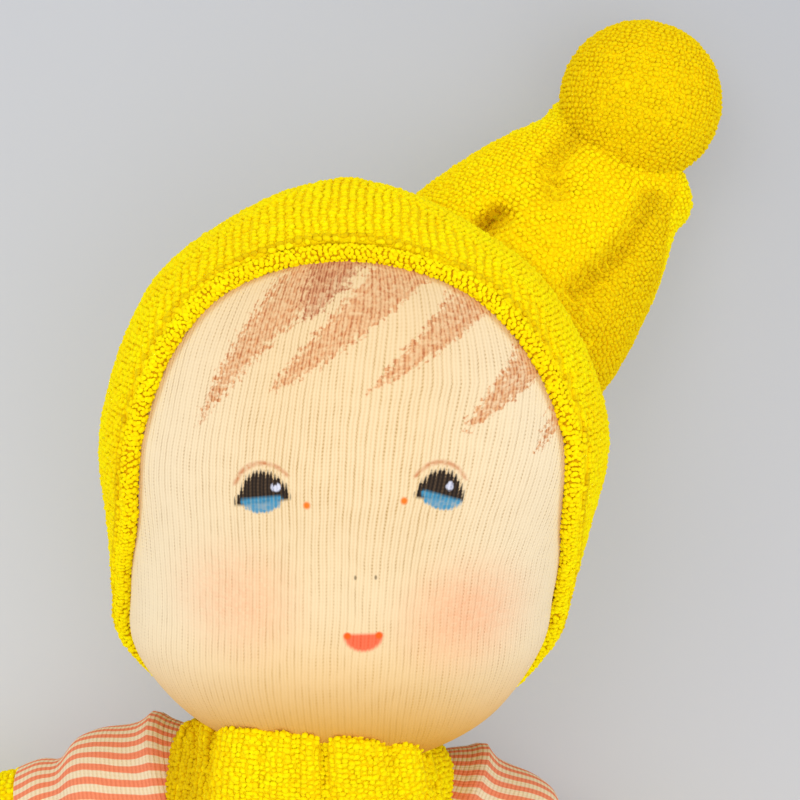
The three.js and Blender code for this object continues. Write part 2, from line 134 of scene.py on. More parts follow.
# The hood: its hem's width, the height of its lower edge from the head's middle, and its thickness
HEM_WIDTH = 2.8
NAPE = -55
HOOD_WALL = 2.4

# The hood's rim, seen from the side: high over the brow, then back behind the cheeks to the nape
RIM = ((-60, -13), (-27, 4), (-4, 24), (100, 27))
# How far the rim leans back on the whole, in degrees
RIM_LEAN = 25


def rim(y):
    """How far in front of the head's middle the hood's rim lies, at a height over that middle."""
    heights, fronts = zip(*RIM)
    return np.interp(y, heights, fronts)


def soft_rim(y):
    """The rim's course as the hem follows it, without corners."""
    return np.mean([rim(y + near) for near in np.linspace(-8, 8, 9)], axis=0)


# Materials


def colour(code):
    """An sRGB hex colour as linear RGBA."""
    values = [int(code[i:i + 2], 16) / 255 for i in (1, 3, 5)]
    return [v / 12.92 if v <= 0.04045 else ((v + 0.055) / 1.055) ** 2.4 for v in values] + [1.0]


# The setting that a node's kind may end with, as in "Math ADD"
CHOICES = {"Math": "operation", "VectorMath": "operation", "Mix": "data_type",
           "MapRange": "interpolation_type"}


def node(tree, kind, inputs=(), **settings):
    """Adds a node with its settings and inputs: in their order, or by name where only some are set. Each is
    a value, a hex colour, a socket or a node, which stands for its first output."""
    kind, _, choice = kind.partition(" ")
    made = tree.nodes.new(kind if kind.startswith("NodeGroup") else "ShaderNode" + kind)
    if choice:
        settings[CHOICES[kind]] = choice
    for name, value in settings.items():
        setattr(made, name, value)
    if not isinstance(inputs, dict):
        used = [number for number, socket in enumerate(made.inputs) if socket.enabled]
        inputs = dict(zip(used, inputs))
    for key, value in inputs.items():
        if isinstance(value, bpy.types.Node):
            value = next(output for output in value.outputs if output.enabled)
        if isinstance(value, bpy.types.NodeSocket):
            tree.links.new(value, made.inputs[key])
        else:
            made.inputs[key].default_value = colour(value) if isinstance(value, str) else value
    return made


def new_material(name):
    made = bpy.data.materials.new(name)
    made.use_nodes = True
    made.node_tree.nodes.clear()
    return made, functools.partial(node, made.node_tree)


def surface(add, base, height=None, depth=0.3, **finish):
    """The cloth's shader: its colour, its relief in millimetres, and its finish on the sockets."""
    inputs = {"Base Color": base, "Roughness": 0.9, "Specular IOR Level": 0.1}
    inputs.update({key.replace("_", " "): value for key, value in finish.items()})
    if height is not None:
        inputs["Normal"] = add("Bump", {"Strength": 1.0, "Distance": depth * MM, "Height": height})
    add("OutputMaterial", {"Surface": add("BsdfPrincipled", inputs)})


def terry_pile(name, dark, light, deep):
    """Cotton terry: soft upright loops that scatter light, each a little lighter or darker, and darkened
    towards a painted shade colour where they are marked as in shade.
    """
    made, add = new_material(name)
    shade = add("Attribute", attribute_name="shade")
    place_in = add("TexCoord")
    cloudy = add("TexNoise", {"Vector": place_in.outputs["Object"], "Scale": 60.0, "Detail": 3.0})
    mixed = add("Mix RGBA", (shade.outputs["Fac"], dark, light))
    patches = add("MapRange", (cloudy, 0.35, 0.7, 0.0, 0.35))
    worn = add("Mix RGBA", (patches, mixed, deep))
    # Painted shade: loops whose shade value is below nothing are mixed towards a dull dark yellow
    painted_shade_mix = add("MapRange", (shade.outputs["Fac"], -1.0, 0.0, 1.0, 0.0))
    tone = add("Mix RGBA", (painted_shade_mix, worn, "#c08c00"))
    surface(add, tone, Roughness=1.0)
    return made


def terry_ground(name, base, groove):
    """The knitted ground that the loops stand in: it shows as deeper yellow between them."""
    made, add = new_material(name)
    place_in = add("TexCoord")
    grain = add("TexVoronoi", {"Vector": place_in.outputs["Object"], "Scale": 850.0})
    tone = add("Mix RGBA", (grain.outputs["Distance"], base, groove))
    surface(add, tone, grain.outputs["Distance"], -0.4, Roughness=1.0)
    return made


def node_group(name, inputs, outputs):
    """An empty node group. An input is given by its kind or, where it is a plain number, its usual value."""
    tree = bpy.data.node_groups.new(name, "ShaderNodeTree")
    for title, usual in inputs.items():
        kind = usual if isinstance(usual, str) else "Float"
        socket = tree.interface.new_socket(name=title, in_out="INPUT", socket_type="NodeSocket" + kind)
        if usual != kind:
            socket.default_value = usual
    for title, kind in outputs.items():
        tree.interface.new_socket(name=title, in_out="OUTPUT", socket_type="NodeSocket" + kind)
    add = functools.partial(node, tree)
    return tree, add, add("NodeGroupInput").outputs


RIB = 1.46
STITCH = 0.66
# How light a rib looks at shares of its width: dark where it meets the next, less so between its columns
RIB_SECTION = ((0.06, 0.12), (0.15, 0.65), (0.25, 1.0), (0.35, 0.8), (0.44, 0.5), (0.5, 0.4), (0.56, 0.5),
               (0.65, 0.8), (0.75, 1.0), (0.85, 0.65), (0.94, 0.12))


def rib_knit():
    """Fine rib of cotton tricot, from places across and along its ribs in millimetres. Each rib has
    two stitch columns. Column is a chance value for each of them and Stitch one for each stitch."""
    tree, add, given = node_group("rib_knit", {"Across": "Float", "Along": "Float"}, dict.fromkeys(
        ("Height", "Shown", "Hole", "Column", "Stitch", "Fuzz"), "Float"))
    flat = add("CombineXYZ", (given["Across"], given["Along"]))
    wander = add("TexNoise", {"Vector": flat, "Scale": 0.06, "Detail": 3.0})
    drift = add("Math MULTIPLY_ADD", (wander, 1.5, given["Across"]))
    ribs = add("Math DIVIDE", (drift, RIB))
    within = add("Math FRACT", (ribs,))
    rounded = add("ValToRGB", (within,))
    stops = rounded.color_ramp.elements
    stops[0].color = (0, 0, 0, 1)
    stops[1].color = (0, 0, 0, 1)
    for at, level in RIB_SECTION:
        stops.new(at).color = (level, level, level, 1)
    half = add("Math DIVIDE", (drift, RIB / 2))
    number = add("Math FLOOR", (half,))
    column = add("TexWhiteNoise", {"W": number}, noise_dimensions="1D")
    count = add("Math DIVIDE", (given["Along"], STITCH))
    row = add("Math MULTIPLY_ADD", (column, 0.6, count))
    row_number = add("Math FLOOR", (row,))
    cell = add("CombineXYZ", (number, row_number))
    stitch = add("TexWhiteNoise", {"Vector": cell}, noise_dimensions="2D")
    turns = add("Math MULTIPLY", (row, 2 * math.pi))
    wave = add("Math SINE", (turns,))
    fuzz = add("TexNoise", {"Vector": flat, "Scale": 1.1, "Detail": 5.0, "Roughness": 0.65})
    tension = add("TexNoise", {"Vector": flat, "Scale": 0.22, "Detail": 2.0})
    groove = add("Math SUBTRACT", (1.0, rounded))
    slack = add("MapRange", (tension, 0.3, 0.7, 0.7, 1.15))
    dotted = add("MapRange", (wave, -0.4, 1.0, 0.65, 1.0))
    open_groove = add("Math MULTIPLY", (groove, slack))
    deep = add("Math MULTIPLY", (open_groove, dotted))
    shown = add("Math SUBTRACT", (1.0, deep))
    hole = add("MapRange", (deep, 0.68, 1.0, 0.0, 1.0))
    height = add("Math MULTIPLY_ADD", (fuzz, 0.45, shown))
    add("NodeGroupOutput", (height, shown, hole, column, stitch, fuzz))
    return tree


KNIT = rib_knit()


def plain_tricot():
    """Skin-coloured cotton tricot, matt, with fine ribs whose grooves look warmer."""
    made, add = new_material("cotton_tricot")
    unrolled = add("UVMap", uv_map="unrolled")
    parts = add("SeparateXYZ", (unrolled,)).outputs
    knit = add("Group", {"Across": parts[0], "Along": parts[1]}, node_tree=KNIT).outputs
    tone = add("Mix RGBA", (knit["Shown"], "#dcb880", "#f6dcae"))
    surface(add, tone, knit["Height"], 0.12)
    return made


def painted_oval():
    """An oval of ink laid over the cloth, whole or as a ring, that may end level above or below.
    The ink frays from stitch to stitch and reaches further along the ribs than in their grooves."""
    tree, add, given = node_group("painted_oval", {
        "Under": "Color", "Ink": "Color", "Groove ink": "Color", "Place": "Vector", "Centre": "Vector",
        "Radii": "Vector", "Turn": 0.0, "Hollow": -1.0, "Edge": 0.1, "Lowest": -100.0, "Highest": 100.0,
        "Strength": 1.0, "Shown": 1.0, "Stitch": 0.5, "Column": 0.5, "Fray": 0.0, "Comb": 0.0, "Patchy": 0.0,
    }, {"Colour": "Color"})
    moved = add("VectorMath SUBTRACT", (given["Place"], given["Centre"]))
    angle = add("Math MULTIPLY", (given["Turn"], -math.pi / 180))
    level = add("VectorRotate", {"Vector": moved, "Angle": angle}, rotation_type="Z_AXIS")
    share = add("VectorMath DIVIDE", (level, given["Radii"]))
    reach = add("VectorMath LENGTH", (share,)).outputs["Value"]
    outer = add("Math SUBTRACT", (reach, 1.0))
    inner = add("Math SUBTRACT", (given["Hollow"], reach))
    off = add("Math MAXIMUM", (outer, inner))
    both = add("Math ADD", (given["Stitch"], given["Column"]))
    chance = add("Math SUBTRACT", (both, 1.0))
    frayed = add("Math MULTIPLY_ADD", (chance, given["Fray"], off))
    grooved = add("Math SUBTRACT", (0.7, given["Shown"]))
    combed = add("Math MULTIPLY_ADD", (grooved, given["Comb"], frayed))
    within = add("Math SUBTRACT", (0.0, given["Edge"]))
    mask = add("MapRange SMOOTHSTEP", (combed, within, given["Edge"], 1.0, 0.0))
    height = add("SeparateXYZ", (level,)).outputs[1]
    over_low = add("Math SUBTRACT", (height, given["Lowest"]))
    under_high = add("Math SUBTRACT", (given["Highest"], height))
    ends = add("Math MINIMUM", (over_low, under_high))
    kept = add("MapRange", (ends, -0.35, 0.35, 0.0, 1.0))
    worn = add("Math MULTIPLY", (given["Stitch"], given["Patchy"]))
    left = add("Math SUBTRACT", (given["Strength"], worn))
    cut = add("Math MULTIPLY", (mask, kept))
    laid = add("Math MULTIPLY", (cut, left), use_clamp=True)
    ink = add("Mix RGBA", (given["Shown"], given["Groove ink"], given["Ink"]))
    painted = add("Mix RGBA", (laid, given["Under"], ink))
    add("NodeGroupOutput", (painted,))
    return tree


def brush_stroke():
    """A brushed strand of hair that narrows from its top to its tip, in ink that sits unevenly in
    the stitches and darker in the grooves."""
    tree, add, given = node_group("brush_stroke", {
        "Under": "Color", "Ink": "Color", "Groove ink": "Color", "Place": "Vector", "Top": "Vector",
        "Tip": "Vector", "Half width": 1.0, "Bow": 0.0, "Taper": 0.6, "Shown": 1.0, "Stitch": 0.5,
        "Fuzz": 0.5,
    }, {"Colour": "Color"})
    at = add("SeparateXYZ", (given["Place"],)).outputs
    top = add("SeparateXYZ", (given["Top"],)).outputs
    end = add("SeparateXYZ", (given["Tip"],)).outputs
    share = add("MapRange", (at[1], top[1], end[1], 0.0, 1.0))
    line = add("MapRange", (at[1], top[1], end[1], top[0], end[0]))
    left = add("Math SUBTRACT", (1.0, share))
    middle = add("Math MULTIPLY", (share, left))
    bowed = add("Math MULTIPLY_ADD", (middle, given["Bow"], line))
    off = add("Math SUBTRACT", (at[0], bowed))
    away = add("Math ABSOLUTE", (off,))
    taper = add("Math POWER", (left, given["Taper"]))
    inside = add("Math MULTIPLY", (taper, given["Half width"]))
    beside = add("Math SUBTRACT", (inside, away))
    under = add("Math SUBTRACT", (end[1], at[1]))
    below = add("Math MAXIMUM", (under, 0.0))
    within = add("Math SUBTRACT", (beside, below))
    chance = add("Math SUBTRACT", (given["Stitch"], 0.5))
    grain = add("Math SUBTRACT", (given["Fuzz"], 0.5))
    uneven = add("Math MULTIPLY_ADD", (grain, 7.0, chance))
    broken = add("Math MULTIPLY_ADD", (uneven, 1.3, within))
    mask = add("MapRange", (broken, -0.3, 0.9, 0.0, 1.0))
    soaked = add("MapRange", (uneven, -0.9, 0.9, 0.4, 1.0))
    wash = add("Math MULTIPLY", (mask, soaked))
    groove = add("MapRange", (given["Shown"], 0.95, 0.45, 0.0, 1.0))
    dashes = add("MapRange", (uneven, -0.8, 0.5, 0.3, 0.95))
    dark = add("Math MULTIPLY", (groove, dashes))
    ink = add("Mix RGBA", (dark, given["Ink"], given["Groove ink"]))
    painted = add("Mix RGBA", (wash, given["Under"], ink))
    add("NodeGroupOutput", (painted,))
    return tree


def mark(ink, centre, radii, grooves=None, **more):
    """A painted oval's ink on the stitches and in the grooves, and its middle and half sizes in
    millimetres on the head's own front: across, and up from the head's middle."""
    return {"Ink": ink, "Groove ink": grooves or ink, "Centre": (*centre, 0), "Radii": (*radii, 1), **more}


def strand(top, tip, half_width, bow, taper, ink="#e7ad77", grooves="#c07042"):
    """A strand of hair from its top to its tip, placed as a mark is. It bows to one side on its way."""
    return {"Top": (*top, 0), "Tip": (*tip, 0), "Half width": half_width, "Bow": bow, "Taper": taper,
            "Ink": ink, "Groove ink": grooves}


# The painted face
STRANDS = (
    strand((-3.5, 44), (-27.7, 14), 6.2, -8.0, 0.9),
    strand((-0.5, 45), (-7.5, 33.5), 6.0, 0.0, 0.6, "#d39468", "#a95a38"),
    strand((12.5, 43), (-13.4, 21), 7.0, 1.0, 0.55),
    strand((25.5, 37), (3.9, 20.8), 6.2, 3.5, 0.7),
    strand((38.2, 26.5), (22.4, 13.5), 6.0, 1.5, 0.6),
    strand((41.0, 13.8), (36.2, 7.8), 2.2, 0.0, 0.8),
)
BLACK, BLACK_GROOVES, BLUE, BLUE_GROOVES = "#241e1b", "#5c4936", "#3a8fb8", "#86adb6"
BROW = {"Lowest": 3.1, "Hollow": 0.89, "Edge": 0.06, "Strength": 0.9, "Patchy": 0.6, "Comb": 0.03}
LID = {"Lowest": 0.1, "Edge": 0.09, "Fray": 0.06, "Comb": 0.24}
IRIS = {"Highest": 0.3, "Edge": 0.12, "Fray": 0.07, "Comb": 0.17, "Patchy": 0.25}
MARKS = [
    # The first two marks are painted reflection, not paint on the doll: the chest's and collar's yellow on
    # the chin, deeper towards its lower edge
    mark("#e3a730", (-3, -64), (44, 28), Edge=0.65, Strength=0.92),
    mark("#d59614", (-1, -64), (34, 15), Edge=0.8, Strength=0.8, Patchy=0.2),
    mark("#fb9f6c", (-20.3, -19.3), (9.0, 8.2), Edge=0.95, Strength=0.4, Patchy=0.15),
    mark("#fb9f6c", (22.4, -22.6), (9.0, 8.2), Edge=0.95, Strength=0.55, Patchy=0.15),
    mark("#cb7b4a", (-15.0, 1.6), (6.2, 6.7), Turn=12.9, **BROW),
    mark("#cb7b4a", (17.2, 1.9), (5.8, 6.6), Turn=-6.0, **BROW),
    mark(BLACK, (-15.0, 0.6), (4.8, 5.6), BLACK_GROOVES, Turn=8.5, **LID),
    mark(BLACK, (-16.5, 0.1), (4.2, 3.3), BLACK_GROOVES, Turn=10.0, **LID),
    mark(BLACK, (17.2, 0.9), (4.55, 5.6), BLACK_GROOVES, Turn=-9.8, **LID),
    mark(BLUE, (-15.7, 1.2), (3.9, 2.6), BLUE_GROOVES, Turn=9.0, **IRIS),
    mark(BLUE, (17.8, 1.6), (3.9, 2.4), BLUE_GROOVES, Turn=-20.0, **IRIS),
    mark("#e0e1ee", (-12.9, 3.5), (0.75, 0.68), "#9fa5bc", Edge=0.35, Fray=0.5),
    mark("#e0e1ee", (19.3, 3.4), (0.66, 0.74), "#9fa5bc", Edge=0.35, Fray=0.5),
    mark("#f67f2b", (-7.2, 0.4), (0.62, 0.68), Edge=0.5),
    mark("#f67f2b", (10.8, 1.2), (0.62, 0.68), Edge=0.5),
    mark("#6f5d40", (1.73, -13.7), (0.24, 0.42), Edge=0.6, Strength=0.8),
    mark("#6f5d40", (5.52, -13.7), (0.24, 0.42), Edge=0.6, Strength=0.8),
    mark("#fa7450", (3.19, -25.1), (3.65, 3.2), "#ee5f38", Highest=0.2, Edge=0.15, Comb=0.12),
    mark("#f9661f", (0.17, -25.25), (0.66, 0.68), Edge=0.4),
    mark("#f9661f", (6.09, -25.25), (0.66, 0.68), Edge=0.4),
]


def painted_tricot():
    """The head's tricot with its painted face: every edge of the painting is stepped and streaky."""
    made, add = new_material("painted_cotton_tricot")
    place_in = add("TexCoord").outputs["Object"]
    on_head = add("Mapping", {"Vector": place_in, "Location": HEAD.translation * MM, "Scale": (MM, MM, MM),
                              "Rotation": (math.radians(HEAD_PITCH), 0, math.radians(HEAD_TILT))},
                  vector_type="TEXTURE")
    flat = add("VectorMath MULTIPLY", (on_head, (1, 1, 0)))
    across, up, front = add("SeparateXYZ", (on_head,)).outputs
    # Ribs follow the head's length, half drawn together towards its ends, and lean on the forehead
    unrolled = add("UVMap", uv_map="unrolled")
    round_head = add("SeparateXYZ", (unrolled,))
    whole = add("Math ADD", (round_head, across))
    above = add("Math MAXIMUM", (up, 0.0))
    squared = add("Math MULTIPLY", (above, above))
    lean = add("Math MULTIPLY", (squared, -0.0028))
    beside = add("MapRange", (across, 0.0, 40.0, 0.0, -0.3))
    cheek = add("MapRange", (up, -14.0, 22.0, 0.0, 36.0))
    leaning = add("Math MULTIPLY_ADD", (cheek, beside, lean))
    drawn = add("Math MULTIPLY_ADD", (whole, 0.5, leaning))
    knit = add("Group", {"Across": drawn, "Along": up}, node_tree=KNIT).outputs
    # Below the eyes the tricot is drawn tight, so its grooves close
    tight = add("MapRange", (up, 0.0, -18.0, 0.0, 0.5))
    groove = add("Math SUBTRACT", (1.0, knit["Shown"]))
    shown = add("Math MULTIPLY_ADD", (groove, tight, knit["Shown"]))
    skin = add("Mix RGBA", (shown, "#dab479", "#f7ddb0"))
    warm = add("MapRange", (up, 8.0, 46.0, 0.0, 0.5))
    skin = add("Mix RGBA", (warm, skin, "#efcf9a"))
    # Painted light: the skin is made lighter towards the face's sides
    sides = add("Math ABSOLUTE", (across,))
    side_painted_light = add("MapRange", (sides, 14.0, 40.0, 0.0, 0.6))
    skin = add("Mix RGBA", (side_painted_light, skin, "#fff0cf"))
    # Painted shade and painted reflection of the hood's yellow on the skin along its rim
    ahead = front
    course = [(y, float(soft_rim(y))) for y in (-60, -37, -32, -27, -22, -17, -12, -8, -4, 0, 4, 60)]
    for (low, back), (high, far) in zip(course, course[1:]):
        rise = add("MapRange", (up, low, high, 0.0, far - back))
        ahead = add("Math SUBTRACT", (ahead, rise))
    close = add("MapRange SMOOTHERSTEP", (ahead, course[0][1], course[0][1] + 1.5, 0.5, 0.0))
    skin = add("Mix RGBA", (close, skin, "#cc8f40"))
    holes = add("Math MULTIPLY", (knit["Hole"], 0.5))
    skin = add("Mix RGBA", (holes, skin, "#a98350"))
    stroke, oval = brush_stroke(), painted_oval()
    for group, painting, yarn in ((stroke, STRANDS, "Fuzz"), (oval, MARKS, "Column")):
        for painted in painting:
            inputs = {name: knit[name] for name in ("Shown", "Stitch", yarn)}
            inputs.update(painted, Under=skin, Place=flat)
            skin = add("Group", inputs, node_tree=group)
    surface(add, skin, knit["Height"], 0.12)
    return made


STRIPE = 3.55
JERSEY_RIB = 0.9
JERSEY_STITCH = 0.8


def striped_jersey():
    """Ribbed cotton jersey with yarn-dyed stripes along the sleeve and fine ribs across them."""
    made, add = new_material("striped_cotton_jersey")
    unrolled = add("UVMap", uv_map="unrolled")
    parts = add("SeparateXYZ", (unrolled,)).outputs
    wander = add("TexNoise", {"Vector": unrolled, "Scale": 0.12, "Detail": 2.0})
    drift = add("Math MULTIPLY_ADD", (wander, 1.2, parts[0]))
    count = add("Math DIVIDE", (drift, STRIPE))
    stripe = add("Math FRACT", (count,))
    band = add("ValToRGB", (stripe,))
    stops = band.color_ramp.elements
    stops[0].color = (0, 0, 0, 1)
    stops[1].position = 0.44
    stops[1].color = (0, 0, 0, 1)
    for at, level in ((0.5, 1.0), (0.94, 1.0), (1.0, 0.0)):
        stops.new(at).color = (level, level, level, 1)
    across = add("Math MULTIPLY", (parts[1], 2 * math.pi / JERSEY_RIB))
    ribs = add("Math SINE", (across,))
    rib = add("MapRange SMOOTHSTEP", (ribs, -1.0, 0.4, 0.35, 1.0))
    loops = add("Math MULTIPLY", (parts[0], 2 * math.pi / JERSEY_STITCH))
    loop = add("Math SINE", (loops,))
    fuzz = add("TexNoise", {"Vector": unrolled, "Scale": 1.5, "Detail": 4.0})
    raised = add("Math MULTIPLY_ADD", (loop, 0.12, rib))
    height = add("Math MULTIPLY_ADD", (fuzz, 0.4, raised))
    cream = add("Mix RGBA", (rib, "#e8cba0", "#f3dfba"))
    coral = add("Mix RGBA", (rib, "#e97e58", "#f69068"))
    dyed = add("Mix RGBA", (band, cream, coral))
    surface(add, dyed, height, 0.14)
    return made


def twisted_thread():
    """Strong cotton thread, waxed, with the slanting twist of its plies."""
    made, add = new_material("twisted_cotton_thread")
    place_in = add("TexCoord")
    ply = add("TexWave", {"Vector": place_in.outputs["Object"], "Scale": 420.0, "Distortion": 1.0},
              bands_direction="DIAGONAL")
    tone = add("Mix RGBA", (ply.outputs["Fac"], "#d9b47c", "#f6e2bb"))
    surface(add, tone, ply.outputs["Fac"], 0.15, Roughness=0.6)
    return made


YELLOW_PILE = terry_pile("yellow_terry_loops", "#fee300", "#fff400", "#fcd900")
YELLOW_GROUND = terry_ground("yellow_terry_ground", "#ffe900", "#fbd600")
# The hem's ground is a darker copy of the yellow ground: painted shade in the gaps between the hem's loops
HEM_GROUND_PAINTED_SHADE = terry_ground("yellow_terry_hem_painted_shade", "#efbf00", "#c98f02")
SKIN = plain_tricot()
FACE = painted_tricot()
STRIPES = striped_jersey()
THREAD = twisted_thread()


# Forms


def spline(stations, count):
    """A smooth profile through stations: radius, and place along the axis."""
    points = np.array(stations, float)
    ends = np.vstack([points[:1], points, points[-1:]])
    at = np.linspace(0, len(points) - 1, count)
    first = np.minimum(at.astype(int), len(points) - 2)
    share = (at - first)[:, None]
    before, start, end, after = (ends[first + k] for k in range(4))
    leave, arrive = (end - before) / 2, (after - start) / 2
    turn = (2 * start - 2 * end + leave + arrive) * share + 3 * end - 3 * start - 2 * leave - arrive
    curve = (turn * share + leave) * share + start
    curve[:, 0] = np.maximum(curve[:, 0], 0)
    return curve


def smoothstep(low, high, value):
    share = np.clip((value - low) / (high - low), 0, 1)
    return share * share * (3 - 2 * share)


def bump(value, centre, width):
    return np.exp(-(((value - centre) / width) ** 2))


def unit(vectors):
    return vectors / np.linalg.norm(vectors, axis=1)[:, None]


def follow(at, places, line):
    """Points of a line at given places along it."""
    return np.stack([np.interp(at, places, values) for values in line.T], -1)


def puffed(points, by):
    """Points of a form moved out from its axis."""
    x, y, z = points.T
    share = 1 + by / np.maximum(np.hypot(x, z), 1e-6)
    return np.stack([x * share, y, z * share], -1)


def mesh_of(bm, name):
    """The bmesh as a smooth mesh."""
    mesh = bpy.data.meshes.new(name)
    bm.to_mesh(mesh)
    bm.free()
    mesh.shade_smooth()
    return mesh


class Form:
    """A sewn form: a profile turned about Y, then shaped in its body's frame and settled where it lies."""

    def __init__(self, stations, matrix, shape=None, settle=None, count=56):
        self.profile = spline(stations, count)
        self.matrix = np.array(matrix)
        self.shape = shape
        self.settle = settle
        steps = np.hypot(*np.diff(self.profile, axis=0).T)
        self.arc = np.concatenate([[0], steps.cumsum()])
        self.girth = self.profile[:, 0].max()

    def laid(self, points):
        """Points of the plain turned form, where the finished cloth has them."""
        if self.shape:
            points = self.shape(points)
        points = points @ self.matrix[:3, :3].T + self.matrix[:3, 3]
        if self.settle:
            points = self.settle(points)
        points[:, 2] = np.maximum(points[:, 2], FLOOR_GAP)
        return points

    def section(self, arc):
        """The form's radius, and its place along the axis, at a length of its profile."""
        return (np.interp(arc, self.arc, line) for line in self.profile.T)

    def arc_at(self, along):
        return np.interp(along, self.profile[:, 1], self.arc)

    def at(self, arc, angle):
        radius, along = self.section(arc)
        return self.laid(np.stack([radius * np.sin(angle), along, radius * np.cos(angle)], -1))

    def rows(self, along_pitch, round_pitch, rib=0.0):
        """Where the loops stand: row by row round the form, drawn together into ribs along it."""
        arcs, angles = [], []
        for arc in np.arange(along_pitch / 2, self.arc[-1], along_pitch):
            radius, _ = self.section(arc)
            count = int(round(2 * math.pi * radius / round_pitch))
            if count > 2:
                arcs.append(np.full(count, arc))
                angles.append((np.arange(count) + 0.5) * 2 * math.pi / count - math.pi)
        arcs, angles = np.concatenate(arcs), np.concatenate(angles)
        if rib:
            radius, _ = self.section(arcs)
            wave = 0.35 * np.sin(arcs / 5.3) + 0.25 * np.sin(arcs / 2.1 + angles * 3)
            across = (np.round(radius * np.sin(angles) / rib) * rib + wave) / radius
            drawn = np.arcsin(np.clip(across, -0.999, 0.999))
            drawn = np.where(np.abs(angles) > math.pi / 2, np.sign(angles) * math.pi - drawn, drawn)
            angles = np.where(np.abs(np.sin(angles)) < 0.9, 0.35 * angles + 0.65 * drawn, angles)
        arcs = arcs + rng.normal(0, JITTER * along_pitch, len(arcs))
        angles = angles + rng.normal(0, JITTER * round_pitch, len(arcs)) / self.girth
        return arcs, angles

    def spun(self, sides):
        """The plain turned form as a bmesh, closed at its poles."""
        bm = bmesh.new()
        line = [bm.verts.new((0, y, r)) for r, y in self.profile]
        for a, b in zip(line, line[1:]):
            bm.edges.new((a, b))
        bmesh.ops.spin(bm, geom=bm.verts[:] + bm.edges[:], cent=(0, 0, 0), axis=(0, 1, 0), angle=2 * math.pi,
                       steps=sides, use_merge=True)
        bmesh.ops.remove_doubles(bm, verts=bm.verts[:], dist=1e-4)
        bmesh.ops.recalc_face_normals(bm, faces=bm.faces[:])
        return bm

    def finish(self, name, bm):
        """The bmesh as a mesh of metres in its place, with its unrolled map in millimetres."""
        mesh = mesh_of(bm, name)
        flat = np.empty(len(mesh.vertices) * 3)
        mesh.vertices.foreach_get("co", flat)
        points = flat.reshape(-1, 3)
        corner = np.empty(len(mesh.loops), int)
        mesh.loops.foreach_get("vertex_index", corner)
        sizes = np.empty(len(mesh.polygons), int)
        mesh.polygons.foreach_get("loop_total", sizes)
        face = np.repeat(np.arange(len(sizes)), sizes)
        x, y, z = points[corner].T
        centre = np.arctan2(np.bincount(face, x), np.bincount(face, z))[face]
        off = (np.arctan2(x, z) - centre + math.pi) % (2 * math.pi) - math.pi
        off[np.hypot(x, z) < 1e-3] = 0
        order = np.argsort(self.profile[:, 1], kind="stable")
        along = np.interp(y, self.profile[order, 1], self.arc[order])
        unrolled = np.stack([(centre + off) * self.girth, along], -1)
        layer = mesh.uv_layers.new(name="unrolled")
        layer.uv.foreach_set("vector", unrolled.astype(np.float32).ravel())
        mesh.vertices.foreach_set("co", (self.laid(points) * MM).ravel())
        mesh.update()
        return mesh


def new_object(name, mesh, material):
    made = bpy.data.objects.new(name, mesh)
    mesh.materials.append(material)
    bpy.context.scene.collection.objects.link(made)
    return made


def cover(name, form, sides, material):
    """A form spun and finished as an object."""
    return new_object(name, form.finish(name, form.spun(sides)), material)


def worked_out(made):
    """The mesh of an object with its modifiers or its bevel."""
    graph = bpy.context.evaluated_depsgraph_get()
    return bpy.data.meshes.new_from_object(made.evaluated_get(graph))


def applied(made):
    """The object with its modifiers made part of its mesh."""
    mesh = worked_out(made)
    made.modifiers.clear()
    made.data = mesh
    return made


def walled(made, thickness):
    """The object with its cloth's thickness, laid inwards."""
    wall = made.modifiers.new("wall", "SOLIDIFY")
    wall.thickness = thickness * MM
    wall.offset = -1
    return applied(made)


def attach(made, body, blend=None, replaces=()):
    """Joins a finished piece to its body, or, where a bend is given, bakes its place into its mesh and leaves
    it unjoined.
    """
    if blend:
        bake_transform(made)
    else:
        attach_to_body(made, body)
    if replaces:
        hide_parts(*replaces)
    return made


def bend_at(body, frame, start, end):
    """A bend to the next body, between two places along that body's own frame."""
    return body, frame @ Vector((0, start, 0)), frame @ Vector((0, end, 0))


def terry_loop():
    """One loop of terry, seen as the round nub of its yarn."""
    bm = bmesh.new()
    bmesh.ops.create_icosphere(bm, subdivisions=1, radius=0.6)
    bmesh.ops.scale(bm, verts=bm.verts[:], vec=(1.25, 0.95, 0.9))
    bmesh.ops.translate(bm, verts=bm.verts[:], vec=(0, 0, 0.18))
    return mesh_of(bm, "terry_loop")


LOOP = terry_loop()


def copies(name, points, bases, sizes, shadow):
    """Many loops as one mesh, each at its point, turned by its basis."""
    pattern = np.array([v.co for v in LOOP.vertices])
    made = new_object(name, LOOP.copy(), YELLOW_PILE)
    row = made.modifiers.new("row", "ARRAY")
    row.count = len(points)
    row.use_relative_offset = False
    applied(made)
    spread = points[:, None, :] + np.einsum("nij,vj->nvi", bases, pattern) * sizes[:, None, None]
    made.data.vertices.foreach_set("co", (spread * MM).ravel())
    shade = made.data.attributes.new("shade", "FLOAT", "POINT")
    # Loops in the light vary at random from dark to light, and those given painted shade are below nothing,
    # by how much shade is painted on them
    chance = rng.uniform(0, 1, len(points))
    tones = chance * np.clip(1 - 5 * shadow, 0, 1) - shadow * (0.8 + 0.4 * chance)
    shade.data.foreach_set("value", np.repeat(tones, len(pattern)).astype(np.float32))
    made.data.update()
    return made


def lit(points):
    return np.zeros(len(points))


def everywhere(points, normals):
    return np.ones(len(points), bool)


